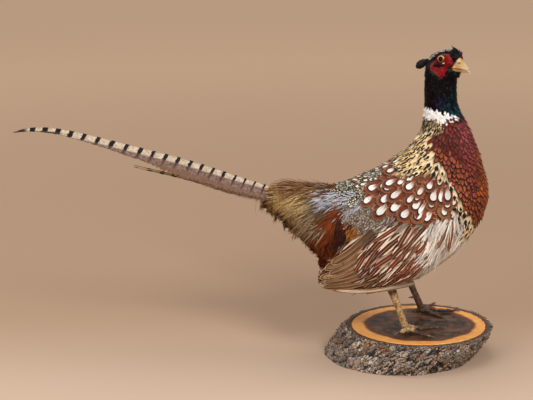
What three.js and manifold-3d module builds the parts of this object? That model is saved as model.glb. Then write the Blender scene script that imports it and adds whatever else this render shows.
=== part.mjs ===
// A life-size mounted ring-necked pheasant cock on its slice of log, built as named solids.
//
// Units are millimetres. The origin is on the underside of the log slice, on the bird's median plane
// midway between its feet. +X is the way the body faces, +Y is the bird's left and +Z is up.

import * as THREE from "three";
import { mergeVertices } from "three/addons/utils/BufferGeometryUtils.js";
import Module from "manifold-3d";

const wasm = await Module();
wasm.setup();

// ---------------------------------------------------------------- driving dimensions

const GAP = 0.3; // clearance between solids that meet
const BIG = 2000; // size of the blocks that cut

const SLICE = {
  height: 48, // thickness of the log slice
  centre: [11.5, -6.5], // middle of its top face
  halfLength: 121, // bark included
  halfDepth: 104,
  barkThickness: 11,
  sides: 40,
  turn: 5, // degrees that its long axis turns from the bird's median plane
  lean: 33, // how far the log leans forward over its height
  bulge: 4, // how far the bark swells between its two cut faces
};

const HEAD = {
  place: [42.4, 0, 482], // between the eyes
  turn: 50, // degrees that the head turns to the bird's right
  eye: [4.5, 13.4, 4], // ahead, aside and above that point
  eyeRadius: 7.6,
  wattleThickness: 3,
};

const LEG = {
  hockHeight: 123,
  ankleHeight: 59,
  padHeight: 51,
  hockRadius: 7.6,
  shankRadius: 5.0,
  ankleRadius: 5.6,
  toeRadius: 4.0,
  toeTipRadius: 2.5,
  claw: 10,
  spur: 11,
};

const FEET = {
  right: { ankle: [-12, -46.5], hock: [-39, -43], heading: 18 },
  left: { ankle: [24, 47], hock: [-8, 43], heading: 5 },
};

// Each toe's bearing from the foot's heading, in degrees towards the bird's outer side, and its length.
const TOES = {
  inner: { bearing: -50, length: 41 },
  middle: { bearing: 0, length: 54 },
  outer: { bearing: 54, length: 44 },
  hind: { bearing: 166, length: 17 },
};

const TAIL = {
  thickness: 1.0,
  stack: 1.9, // from one pair down to the next
  slope: 47, // degrees that the vanes fall away from the ridge
  steps: 12,
};

// The pairs of tail feathers from the middle one down: each reaches a share of the ridge line and by
// its tip has dropped below it and spread aside. Ease under 1 drops early and over 1 late. Its vane is
// a share of the middle pair's width.
const TAIL_PAIRS = [
  { reach: 1, drop: 0, ease: 1, spread: 0, width: 1 },
  { reach: 0.78, drop: 2, ease: 1, spread: 0.5, width: 0.95 },
  { reach: 0.43, drop: 18, ease: 1.2, spread: 2, width: 0.5 },
  { reach: 0.32, drop: 16, ease: 1.2, spread: 3, width: 0.42 },
  { reach: 0.55, drop: 24, ease: 0.36, spread: 5, width: 0.22 },
];

// The middle pair's vane: how wide it is from the middle line outwards, at shares of its length.
const VANE = [
  [0, 22],
  [0.2, 29],
  [0.37, 33],
  [0.52, 21.5],
  [0.68, 15],
  [0.83, 10.5],
  [0.95, 6],
  [1, 0.9],
];

// ---------------------------------------------------------------- stations of the body

// Each station names a section: where it meets the back and the belly on the median plane (x, z),
// its half width, where between back and belly it is widest, and how square it is.
const BODY = [
  { name: "tail root", back: [-240, 277], belly: [-242, 251], half: 13, widest: 0.5, square: 2 },
  { name: "tail coverts", back: [-208, 286], belly: [-210, 220], half: 27, widest: 0.42, square: 2 },
  { name: "vent", back: [-168, 285], belly: [-158, 168], half: 44, widest: 0.42, square: 2.1 },
  { name: "rump", back: [-125, 285], belly: [-92, 131], half: 58, widest: 0.45, square: 2.2 },
  { name: "loin", back: [-86, 300], belly: [-26, 113], half: 67, widest: 0.47, square: 2.2 },
  { name: "saddle", back: [-47, 321], belly: [38, 143], half: 71, widest: 0.48, square: 2.2 },
  { name: "shoulder", back: [-15, 346], belly: [93, 198.5], half: 67, widest: 0.5, square: 2.15 },
  { name: "breast", back: [1, 367], belly: [120.5, 259], half: 56, widest: 0.52, square: 2.1 },
  { name: "neck base", back: [6, 387], belly: [109, 318], half: 44, widest: 0.52, square: 2 },
  { name: "collar", back: [8, 403], belly: [85, 377], half: 34, widest: 0.5, square: 2 },
  { name: "lower neck", back: [8.5, 420], belly: [66, 408], half: 28, widest: 0.5, square: 2 },
  { name: "middle neck", back: [7.5, 440], belly: [61.5, 436], half: 25, widest: 0.5, square: 2 },
  { name: "upper neck", back: [8, 460], belly: [62, 456], half: 22.5, widest: 0.5, square: 2 },
  { name: "skull base", back: [10, 473], belly: [58, 471], half: 19, widest: 0.5, square: 2 },
  { name: "inner end", back: [24, 484], belly: [50, 483], half: 10, widest: 0.5, square: 2 },
];

// Planes that part the body, from the head down: a point (x, z) on each and the way up the neck.
const PARTINGS = {
  head: { point: [34, 459], up: [0.22, 0.98] },
  neck: { point: [38, 404], up: [-0.1, 0.99] },
  collar: { point: [44, 388], up: [-0.22, 0.97] },
  breast: { point: [22, 262], up: [0.72, 0.69] },
  trunk: { point: [-128, 220], up: [0.97, 0.24] },
};

// In the head's own frame: x ahead, z up.
const SKULL = [
  { name: "occiput", back: [-31, 2], belly: [-31, -5], half: 4, widest: 0.5, square: 2 },
  { name: "nape", back: [-26, 8.5], belly: [-26, -15], half: 13, widest: 0.5, square: 2 },
  { name: "crown", back: [-14, 14.5], belly: [-13, -23], half: 17, widest: 0.5, square: 2.1 },
  { name: "brow", back: [2, 18.6], belly: [3, -27.5], half: 18, widest: 0.5, square: 2.3 },
  { name: "lore", back: [14, 18.6], belly: [14, -29], half: 16.5, widest: 0.5, square: 2.5 },
  { name: "forehead", back: [22, 17.6], belly: [22, -27], half: 13, widest: 0.5, square: 2.6 },
  { name: "bill root", back: [27.5, 11], belly: [28, -21], half: 9.2, widest: 0.5, square: 2.3 },
  { name: "front", back: [29.5, 4], belly: [30, -15], half: 4.5, widest: 0.5, square: 2 },
];

const UPPER_BILL = [
  { name: "base", back: [16, 9], belly: [16, -9.2], half: 8.8, widest: 0.8, square: 2 },
  { name: "nostril", back: [27.5, 8], belly: [27.5, -9.8], half: 7.6, widest: 0.74, square: 2 },
  { name: "ridge", back: [35, 3], belly: [35.5, -10.8], half: 6.2, widest: 0.72, square: 2 },
  { name: "hook", back: [42, -3.4], belly: [42.4, -12], half: 4.8, widest: 0.66, square: 2 },
  { name: "bend", back: [47.4, -9], belly: [46.8, -13.2], half: 2.8, widest: 0.55, square: 2 },
  { name: "tip", back: [51.4, -14.2], belly: [50.2, -14.8], half: 0.5, widest: 0.5, square: 2 },
];

const LOWER_BILL = [
  { name: "base", back: [16, -9.9], belly: [16, -14.8], half: 7.6, widest: 0.2, square: 2 },
  { name: "branch", back: [28, -10.6], belly: [28, -15.4], half: 6.2, widest: 0.22, square: 2 },
  { name: "gonys", back: [37, -11.9], belly: [37, -16], half: 4.4, widest: 0.25, square: 2 },
  { name: "tip", back: [45, -13.4], belly: [44.6, -14.8], half: 1.3, widest: 0.5, square: 2 },
];

// The closed wings, both in one envelope, which the body and the middle are then cut from.
const WINGS = [
  { name: "wing tips", back: [-150, 152], belly: [-156, 130], half: 44, widest: 0.5, square: 2.6 },
  { name: "primaries", back: [-137, 181], belly: [-128, 118], half: 57, widest: 0.5, square: 2.9 },
  { name: "secondaries", back: [-114, 215], belly: [-72, 112], half: 71, widest: 0.5, square: 3 },
  { name: "tertials", back: [-80, 252], belly: [-18, 120], half: 78, widest: 0.5, square: 3 },
  { name: "coverts", back: [-42, 278], belly: [34, 148], half: 80.5, widest: 0.5, square: 2.8 },
  { name: "scapulars", back: [0, 290], belly: [62, 188], half: 76, widest: 0.5, square: 2.7 },
  { name: "bend of wing", back: [37, 284], belly: [79, 224], half: 66, widest: 0.5, square: 2.5 },
  { name: "wrist", back: [66, 268], belly: [82, 248], half: 57, widest: 0.5, square: 2.2 },
];
const WING_ROOM = { halfWidth: 33, front: -60 }; // the space between the two wing tips

// Ridge line of the tail's middle pair (x, z), from its root to its tip.
const TAIL_RIDGE = [
  [-205, 271],
  [-277, 294],
  [-357, 321],
  [-440, 343],
  [-522, 364],
  [-575, 374],
  [-612, 374],
  [-637, 367.5],
];

// ---------------------------------------------------------------- colours

const COLOURS = {
  black: 0x14161c,
  white: 0xf2efe9,
  copper: 0x7e3a20,
  straw: 0xc9a56b,
  olive: 0x8f8468,
  russet: 0x7c4a22,
  banded: 0xc7b59b,
  wattle: 0xb3202a,
  horn: 0xd8b777,
  amber: 0xd7a544,
  shank: 0x9a8357,
  claw: 0x3b322a,
  wood: 0x6b432b,
  bark: 0x5d544c,
};

function finish(colour, roughness = 0.75) {
  return new THREE.MeshStandardMaterial({ color: colour, roughness, metalness: 0 });
}

// ---------------------------------------------------------------- geometry helpers

// A geometry as a manifold solid, whichever way its faces were wound.
function solid(geometry) {
  const bare = geometry.clone();
  bare.deleteAttribute("normal");
  bare.deleteAttribute("uv");
  const merged = mergeVertices(bare, 1e-4);
  const vertProperties = new Float32Array(merged.attributes.position.array);
  const triVerts = new Uint32Array(merged.index.array);
  const made = new wasm.Manifold(new wasm.Mesh({ numProp: 3, vertProperties, triVerts }));
  if (made.volume() >= 0) return made;
  for (let i = 0; i < triVerts.length; i += 3) {
    [triVerts[i + 1], triVerts[i + 2]] = [triVerts[i + 2], triVerts[i + 1]];
  }
  return new wasm.Manifold(new wasm.Mesh({ numProp: 3, vertProperties, triVerts }));
}

// A manifold solid as a geometry.
function geometryOf(made) {
  const { vertProperties, triVerts } = made.getMesh();
  return new THREE.BufferGeometry()
    .setAttribute("position", new THREE.BufferAttribute(vertProperties, 3))
    .setIndex(new THREE.BufferAttribute(triVerts, 1));
}

function smoothLine(points) {
  return new THREE.CatmullRomCurve3(points, false, "centripetal");
}

// Moves every vertex of an upright unit cylinder: place(t, angle, reach) gives its point, where t runs
// from 0 to 1 along it and reach is 0 at a cap's middle and 1 on the wall.
function reshapedCylinder(sides, rings, place) {
  const geometry = new THREE.CylinderGeometry(1, 1, 1, sides, rings);
  const position = geometry.attributes.position;
  for (let i = 0; i < position.count; i++) {
    const x = position.getX(i);
    const z = position.getZ(i);
    const reach = Math.hypot(x, z);
    const point = place(0.5 - position.getY(i), Math.atan2(x, z), reach);
    position.setXYZ(i, point.x, point.y, point.z);
  }
  return geometry;
}

// A closed body through stations, grown outwards by grow.
function loft(stations, { sides, rings, grow = 0 }) {
  const middleOf = ({ back, belly }) => new THREE.Vector3((back[0] + belly[0]) / 2, 0, (back[1] + belly[1]) / 2);
  const spine = smoothLine(stations.map(middleOf));
  const backs = smoothLine(stations.map(({ back }) => new THREE.Vector3(back[0], 0, back[1])));
  const bellies = smoothLine(stations.map(({ belly }) => new THREE.Vector3(belly[0], 0, belly[1])));
  const widths = stations.map(({ half, widest, square }) => new THREE.Vector3(half, 20 * widest, 20 * square));
  const sizes = new THREE.CatmullRomCurve3(widths, false, "catmullrom", 0.5);
  return reshapedCylinder(sides, rings, (t, angle, reach) => {
    const back = backs.getPoint(t);
    const belly = bellies.getPoint(t);
    const { x: half, y: widest, z: square } = sizes.getPoint(t);
    const centre = back.clone().lerp(belly, widest / 20);
    const power = 40 / square;
    const rise = Math.sign(Math.cos(angle)) * Math.abs(Math.cos(angle)) ** power;
    const aside = Math.sign(Math.sin(angle)) * Math.abs(Math.sin(angle)) ** power;
    const radial = (rise > 0 ? back : belly).clone().sub(centre);
    const lift = radial.length() + grow;
    radial.setLength(lift * Math.abs(rise) * reach);
    const point = centre.add(radial);
    point.y += (half + grow) * aside * reach;
    if (t === 0 || t === 1) point.addScaledVector(spine.getTangent(t), t === 0 ? -grow : grow);
    return point;
  });
}

// A round limb along points, with its radius at each; flat squeezes it upright.
function limb(points, radii, { sides, rings, flat = 1 }) {
  const line = smoothLine(points.map((p) => new THREE.Vector3(...p)));
  const size = smoothLine(radii.map((r, i) => new THREE.Vector3(r, i * 4, 0)));
  const reference = new THREE.Vector3(0, 1, 0);
  const along = line.getTangent(0.5);
  if (Math.abs(along.y) > 0.8) reference.set(1, 0, 0);
  return reshapedCylinder(sides, rings, (t, angle, reach) => {
    const forward = line.getTangent(t);
    const aside = new THREE.Vector3().crossVectors(forward, reference).normalize();
    const up = new THREE.Vector3().crossVectors(aside, forward);
    const radius = size.getPoint(t).x * reach;
    return line
      .getPoint(t)
      .addScaledVector(aside, radius * Math.cos(angle) * flat)
      .addScaledVector(up, radius * Math.sin(angle));
  });
}

// A block that fills everything on the up side of a parting plane, moved up by shift.
function above({ point, up }, shift) {
  const block = new THREE.BoxGeometry(BIG, BIG, BIG);
  block.translate(0, 0, BIG / 2 + shift);
  block.rotateY(Math.atan2(up[0], up[1]));
  block.translate(point[0], 0, point[1]);
  return solid(block);
}

function largest(made) {
  return made.decompose().sort((a, b) => b.volume() - a.volume())[0];
}

// ---------------------------------------------------------------- the group

const pheasant = new THREE.Group();

function add(name, shape, material) {
  const mesh = new THREE.Mesh(geometryOf(shape), material);
  mesh.name = name;
  pheasant.add(mesh);
}

// ---------------------------------------------------------------- head

const headTurn = new THREE.Matrix4()
  .makeTranslation(...HEAD.place)
  .multiply(new THREE.Matrix4().makeRotationZ(THREE.MathUtils.degToRad(-HEAD.turn)));

function onHead(geometry) {
  return solid(geometry.applyMatrix4(headTurn));
}

function skull(grow) {
  return onHead(loft(SKULL, { sides: 18, rings: 12, grow }));
}

function eyeball(side, grow) {
  const ball = new THREE.SphereGeometry(HEAD.eyeRadius + grow, 10, 7);
  return onHead(ball.translate(HEAD.eye[0], side * HEAD.eye[1], HEAD.eye[2]));
}

// The bare red face, as a plate over the side of the skull.
function wattle(side) {
  const outline = new THREE.Shape();
  outline.moveTo(-11, -10);
  outline.bezierCurveTo(-12, 0, -9, 9, -3, 12);
  outline.bezierCurveTo(5, 16, 17, 16, 23, 12);
  outline.bezierCurveTo(27, 8, 28, 0, 26, -3);
  outline.bezierCurveTo(22, -8, 15, -14, 11, -16);
  outline.bezierCurveTo(8, -18, 8, -22, 5, -24);
  outline.bezierCurveTo(1, -22, -7, -17, -11, -10);
  const plate = new THREE.ExtrudeGeometry(outline, { depth: 30, bevelEnabled: false, curveSegments: 2 });
  plate.rotateX(Math.PI / 2); // the outline's own y becomes z, and its depth runs towards -y
  if (side > 0) plate.translate(0, 30, 0);
  const skinned = onHead(plate).intersect(skull(HEAD.wattleThickness)).subtract(skull(GAP));
  return skinned.subtract(eyeball(side, GAP));
}

// A club-shaped tuft of feathers behind the ear.
function earTuft(side) {
  const path = [[-17, 12, 2], [-29, 15, -3.5], [-38, 16.5, -9.5], [-44, 17.5, -15]];
  const sided = path.map(([x, y, z]) => [x, side * y, z]);
  return onHead(limb(sided, [3.8, 4.8, 7.4, 4.5], { sides: 7, rings: 5, flat: 0.8 }));
}

const eyes = { right: -1, left: 1 };
const wholeHead = skull(0);
const upperBill = onHead(loft(UPPER_BILL, { sides: 10, rings: 8 }));
const lowerBill = onHead(loft(LOWER_BILL, { sides: 8, rings: 5 }));

// ---------------------------------------------------------------- body, parted with thin cuts

const BODY_MESH = { sides: 22, rings: 30 };
const wholeBody = solid(loft(BODY, BODY_MESH));
const bodyRoom = solid(loft(BODY, { ...BODY_MESH, grow: GAP }));
const flesh = wholeBody.add(wholeHead);

const sockets = eyeball(-1, GAP).add(eyeball(1, GAP));
const overHead = above(PARTINGS.head, 0);
const headSolid = largest(flesh.intersect(overHead).subtract(sockets));
const headRoom = skull(GAP);

add("head", headSolid, finish(COLOURS.black));
for (const [side, y] of Object.entries(eyes)) {
  add(`eye_${side}`, eyeball(y, 0), finish(COLOURS.amber, 0.1));
  add(`wattle_${side}`, largest(wattle(y).subtract(bodyRoom)), finish(COLOURS.wattle, 0.5));
  add(`ear_tuft_${side}`, largest(earTuft(y).subtract(headRoom).subtract(bodyRoom)), finish(COLOURS.black));
}
const billRoom = headRoom.add(bodyRoom);
add("bill_upper", largest(upperBill.subtract(billRoom)), finish(COLOURS.horn, 0.4));
add("bill_lower", largest(lowerBill.subtract(billRoom)), finish(COLOURS.horn, 0.4));

function slab(top, bottom) {
  return largest(flesh.intersect(above(bottom, 0)).subtract(above(top, -GAP)));
}

add("neck", slab(PARTINGS.head, PARTINGS.neck), finish(COLOURS.black));
add("collar", slab(PARTINGS.neck, PARTINGS.collar), finish(COLOURS.white));
add("breast", slab(PARTINGS.collar, PARTINGS.breast), finish(COLOURS.copper));
add("trunk", slab(PARTINGS.breast, PARTINGS.trunk), finish(COLOURS.straw));
add("rump", largest(flesh.subtract(above(PARTINGS.trunk, -GAP))), finish(COLOURS.olive));

// ---------------------------------------------------------------- thighs and shanks

// The line of a shank from the hock down to the ankle, which lies on the way to the foot's pad.
function shankLine(side) {
  const { ankle, hock } = FEET[side];
  const top = new THREE.Vector3(...hock, LEG.hockHeight);
  const pad = new THREE.Vector3(...ankle, LEG.padHeight);
  const low = pad.lerp(top, (LEG.ankleHeight - LEG.padHeight) / (LEG.hockHeight - LEG.padHeight));
  return [top, top.clone().lerp(low, 0.5), low];
}

function shank(side, grow) {
  const radii = [LEG.hockRadius, LEG.shankRadius, LEG.ankleRadius].map((radius) => radius + grow);
  const line = shankLine(side).map((point) => point.toArray());
  return solid(limb(line, radii, { sides: 8, rings: 5, flat: 0.86 }));
}

// The feathered thigh, from inside the body down to the hock.
function thigh(side, grow) {
  const [x, y] = FEET[side].hock;
  const line = [
    [x + 14, y * 0.9, LEG.hockHeight + 30],
    [x + 4, y, LEG.hockHeight + 9],
    [x, y, LEG.hockHeight],
  ];
  return solid(limb(line, [24 + grow, 12 + grow, LEG.hockRadius + 0.8 + grow], { sides: 8, rings: 4 }));
}

for (const side of Object.keys(eyes)) {
  const bareThigh = thigh(side, 0).subtract(bodyRoom).subtract(shank(side, 2 * GAP));
  add(`thigh_${side}`, largest(bareThigh), finish(COLOURS.straw));
  add(`shank_${side}`, largest(shank(side, 0).subtract(bodyRoom)), finish(COLOURS.shank, 0.55));
}

// ---------------------------------------------------------------- wings

const wingRoom = new THREE.BoxGeometry(BIG, 2 * WING_ROOM.halfWidth, BIG);
wingRoom.translate(WING_ROOM.front - BIG / 2, 0, 0);
const wingShape = loft(WINGS, { sides: 20, rings: 12 });
const bothWings = solid(wingShape).subtract(bodyRoom).subtract(solid(wingRoom));
for (const [side, y] of Object.entries(eyes)) {
  const half = new THREE.BoxGeometry(BIG, BIG, BIG).translate(0, (y * BIG) / 2, 0);
  const legRoom = thigh(side, GAP).add(shank(side, 2 * GAP));
  add(`wing_${side}`, largest(bothWings.intersect(solid(half)).subtract(legRoom)), finish(COLOURS.russet));
}

// ---------------------------------------------------------------- tail

const ridge = smoothLine(TAIL_RIDGE.map(([x, z]) => new THREE.Vector3(x, 0, z)));

function vaneWidth(share) {
  const next = Math.max(1, VANE.findIndex(([at]) => at >= share));
  const [from, start] = VANE[next - 1];
  const [to, end] = VANE[next];
  return THREE.MathUtils.mapLinear(share, from, to, start, end);
}

// One tail feather: a tapering vane beside the ridge, falling away from it.
function tailFeather(pair, side) {
  const { reach, drop, ease, spread, width } = TAIL_PAIRS[pair];
  const slope = THREE.MathUtils.degToRad(TAIL.slope);
  const vane = new THREE.BoxGeometry(1, 1, 1, TAIL.steps, 1, 1);
  const position = vane.attributes.position;
  for (let i = 0; i < position.count; i++) {
    const along = position.getX(i) + 0.5;
    const across = position.getY(i) + 0.5;
    const through = position.getZ(i);
    const down = new THREE.Vector3(0, 1, 0).cross(ridge.getTangentAt(along * reach));
    if (down.z > 0) down.negate();
    const out = across * width * vaneWidth(along);
    const fall = pair * TAIL.stack + drop * along ** ease + out * Math.sin(slope) + through * TAIL.thickness;
    const point = ridge.getPointAt(along * reach).addScaledVector(down, fall);
    point.y = side * (GAP + spread * along + out * Math.cos(slope));
    position.setXYZ(i, point.x, point.y, point.z);
  }
  return solid(vane);
}

for (const [side, y] of Object.entries(eyes)) {
  TAIL_PAIRS.forEach((_, pair) => {
    add(`tail_${side}_${pair + 1}`, largest(tailFeather(pair, y).subtract(bodyRoom)), finish(COLOURS.banded));
  });
}

// ---------------------------------------------------------------- feet

const floor = SLICE.height + GAP;

function bearing(degrees) {
  const a = THREE.MathUtils.degToRad(degrees);
  return new THREE.Vector2(Math.cos(a), Math.sin(a));
}

// A toe from the ankle down to the slice and along it, with a swelling at each joint.
function toePath(ankle, direction, length, root) {
  const at = (share, z) => [ankle[0] + direction.x * length * share, ankle[1] + direction.y * length * share, z];
  return [
    [ankle[0], ankle[1], root],
    at(0.22, floor + LEG.toeRadius + 3.4),
    at(0.5, floor + LEG.toeRadius * 0.98),
    at(0.78, floor + LEG.toeRadius * 0.86),
    at(1, floor + LEG.toeTipRadius),
  ];
}

function foot(side, outer) {
  const { ankle, heading } = FEET[side];
  const shankRoom = shank(side, 2 * GAP);
  const pad = new THREE.SphereGeometry(6.4, 8, 4).scale(1.05, 1.05, 0.9).translate(...ankle, floor + 6.2);
  let toes = solid(pad);
  const claws = [];
  for (const [name, toe] of Object.entries(TOES)) {
    const direction = bearing(heading + outer * toe.bearing);
    const path = toePath(ankle, direction, toe.length, LEG.ankleHeight - 3);
    const r = LEG.toeRadius;
    const toeRadii = [r + 0.9, r, r * 0.92, r * 0.8, LEG.toeTipRadius];
    toes = toes.add(solid(limb(path, toeRadii, { sides: 6, rings: 4 })));
    const tip = path[path.length - 1];
    const ahead = (share, z) => {
      const reach = LEG.claw * share;
      return [tip[0] + direction.x * reach, tip[1] + direction.y * reach, z];
    };
    const curve = [ahead(-0.25, tip[2] + 0.4), ahead(0.35, tip[2] + 0.9), ahead(1, floor + 0.75)];
    claws.push([name, limb(curve, [2.1, 1.8, 0.55], { sides: 5, rings: 3 })]);
  }
  const underFloor = solid(new THREE.BoxGeometry(BIG, BIG, BIG).translate(0, 0, floor - BIG / 2));
  toes = largest(toes.subtract(underFloor).subtract(shankRoom));

  const [top, , low] = shankLine(side);
  const spurRoot = low.clone().lerp(top, 0.3);
  const behind = new THREE.Vector3(-0.93, -outer * 0.36, -0.1);
  const spurAt = (share, lift) => {
    const point = spurRoot.clone().addScaledVector(behind, LEG.spur * share);
    return [point.x, point.y, point.z + lift];
  };
  const spurLine = [spurAt(0.2, 0), spurAt(0.8, 0), spurAt(1.35, 1.8)];
  const spur = solid(limb(spurLine, [3, 1.9, 0.5], { sides: 6, rings: 3 }));

  add(`foot_${side}`, toes, finish(COLOURS.shank, 0.55));
  add(`spur_${side}`, largest(spur.subtract(shankRoom)), finish(COLOURS.claw, 0.35));
  for (const [name, nail] of claws) {
    add(`claw_${name}_${side}`, largest(solid(nail).subtract(toes)), finish(COLOURS.claw, 0.35));
  }
}

foot("right", -1);
foot("left", 1);

// ---------------------------------------------------------------- log slice

// How far the bark stands out at a bearing: broad plates with furrows between them.
function barkRelief(angle, level) {
  const plates = Math.sin(13 * angle + 2.4 * Math.sin(3 * angle) + 1.3 * level);
  const knots = Math.sin(5 * angle + 0.8) * Math.cos(7 * angle - 2 * level);
  return 1.3 * plates + 1.3 * knots;
}

// The slice out to a share of its outline, leaning with the log.
function sliceBlock(inset, { rough, rings }) {
  const shape = reshapedCylinder(SLICE.sides, rings, (t, angle, reach) => {
    const level = 1 - t;
    const swell = rough * (SLICE.bulge * Math.sin(Math.PI * level) + barkRelief(angle, 4 * level));
    return new THREE.Vector3(
      (SLICE.halfLength - inset + swell) * Math.cos(angle) * reach,
      (SLICE.halfDepth - inset + swell) * Math.sin(angle) * reach,
      SLICE.height * level,
    );
  });
  shape.rotateZ(THREE.MathUtils.degToRad(SLICE.turn));
  const leaning = new THREE.Matrix4().makeShear(0, 0, 0, 0, SLICE.lean / SLICE.height, 0);
  shape.applyMatrix4(leaning);
  return solid(shape.translate(SLICE.centre[0] - SLICE.lean, SLICE.centre[1], 0));
}

const wood = sliceBlock(SLICE.barkThickness, { rough: 0, rings: 1 });
const woodRoom = sliceBlock(SLICE.barkThickness - GAP, { rough: 0, rings: 1 });
const log = sliceBlock(0, { rough: 1, rings: 3 });
add("base_wood", wood, finish(COLOURS.wood, 0.5));
add("base_bark", largest(log.subtract(woodRoom)), finish(COLOURS.bark, 0.9));

export default pheasant;
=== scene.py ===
"""A mounted cock ring-necked pheasant on its slice of log, dressed for display.

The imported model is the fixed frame. One skin stands for the flesh and lies under a coat of modelled
feathers, and the head, tail, legs and log slice get their own finished pieces. Lengths in the tables
below are in millimetres, in the frame's own axes, and become metres through MM.
"""

import logging
import math
from collections.abc import Callable, Sequence
from dataclasses import dataclass, field, replace
from enum import Enum, auto

import bpy
import numpy as np
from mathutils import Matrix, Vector
from mathutils.bvhtree import BVHTree
from mathutils.kdtree import KDTree


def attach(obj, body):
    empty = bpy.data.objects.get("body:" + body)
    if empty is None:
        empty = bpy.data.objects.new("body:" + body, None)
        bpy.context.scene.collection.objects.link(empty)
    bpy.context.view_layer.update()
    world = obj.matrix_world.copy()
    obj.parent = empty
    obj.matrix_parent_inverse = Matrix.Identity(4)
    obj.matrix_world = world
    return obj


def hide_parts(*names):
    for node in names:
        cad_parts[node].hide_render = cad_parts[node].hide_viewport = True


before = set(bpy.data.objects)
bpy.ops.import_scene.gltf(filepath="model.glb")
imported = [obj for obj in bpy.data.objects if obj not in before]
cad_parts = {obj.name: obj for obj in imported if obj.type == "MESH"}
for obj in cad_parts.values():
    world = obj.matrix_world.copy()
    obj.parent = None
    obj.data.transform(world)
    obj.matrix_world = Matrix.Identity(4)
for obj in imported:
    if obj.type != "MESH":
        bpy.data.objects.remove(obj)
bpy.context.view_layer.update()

LOG = logging.getLogger("pheasant")
MM = 0.001
BODY = "root"
SIDES = {"right": -1.0, "left": 1.0}
Colour = tuple[float, float, float]
Point = tuple[float, float, float]
Line = tuple[tuple[float, float], ...]
Array = np.ndarray
Piece = bpy.types.Object
Material = bpy.types.Material


def unit(vectors: Array) -> Array:
    """Returns the vectors scaled to a length of one."""
    return vectors / np.maximum(np.linalg.norm(vectors, axis=-1, keepdims=True), 1e-9)


def flush(ways: Array, normals: Array) -> Array:
    """Returns the ways turned along a surface, at a length of one."""
    return unit(ways - (ways * normals).sum(1)[:, None] * normals)


def calm(values: Array) -> Array:
    """Evens out a row of numbers, each with the four on either side of it."""
    return np.convolve(np.pad(values, 4, "edge"), np.ones(9) / 9, "valid")


def find_tree(places: Sequence[Array]) -> KDTree:
    """Returns a tree that finds the places nearest to another."""
    tree = KDTree(len(places))
    for index, place in enumerate(places):
        tree.insert(place, index)
    tree.balance()
    return tree


# ------------------------------------------------------------------ node graphs


class Value:
    """One output of a node, which takes part in sums as a number does."""

    def __init__(self, graph: "Graph", socket: bpy.types.NodeSocket) -> None:
        """Keeps the output and the graph that it belongs to."""
        self.graph = graph
        self.socket = socket

    def __add__(self, other: object) -> "Value":
        """Returns the sum."""
        return self.graph.math("ADD", self, other)

    def __sub__(self, other: object) -> "Value":
        """Returns the difference."""
        return self.graph.math("SUBTRACT", self, other)

    def __rsub__(self, other: object) -> "Value":
        """Returns what it leaves of a number."""
        return self.graph.math("SUBTRACT", other, self)

    def __mul__(self, other: object) -> "Value":
        """Returns the product."""
        return self.graph.math("MULTIPLY", self, other)

    def __truediv__(self, other: object) -> "Value":
        """Returns the quotient."""
        return self.graph.math("DIVIDE", self, other)

    def __abs__(self) -> "Value":
        """Returns it without its sign."""
        return self.graph.math("ABSOLUTE", self)


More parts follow.
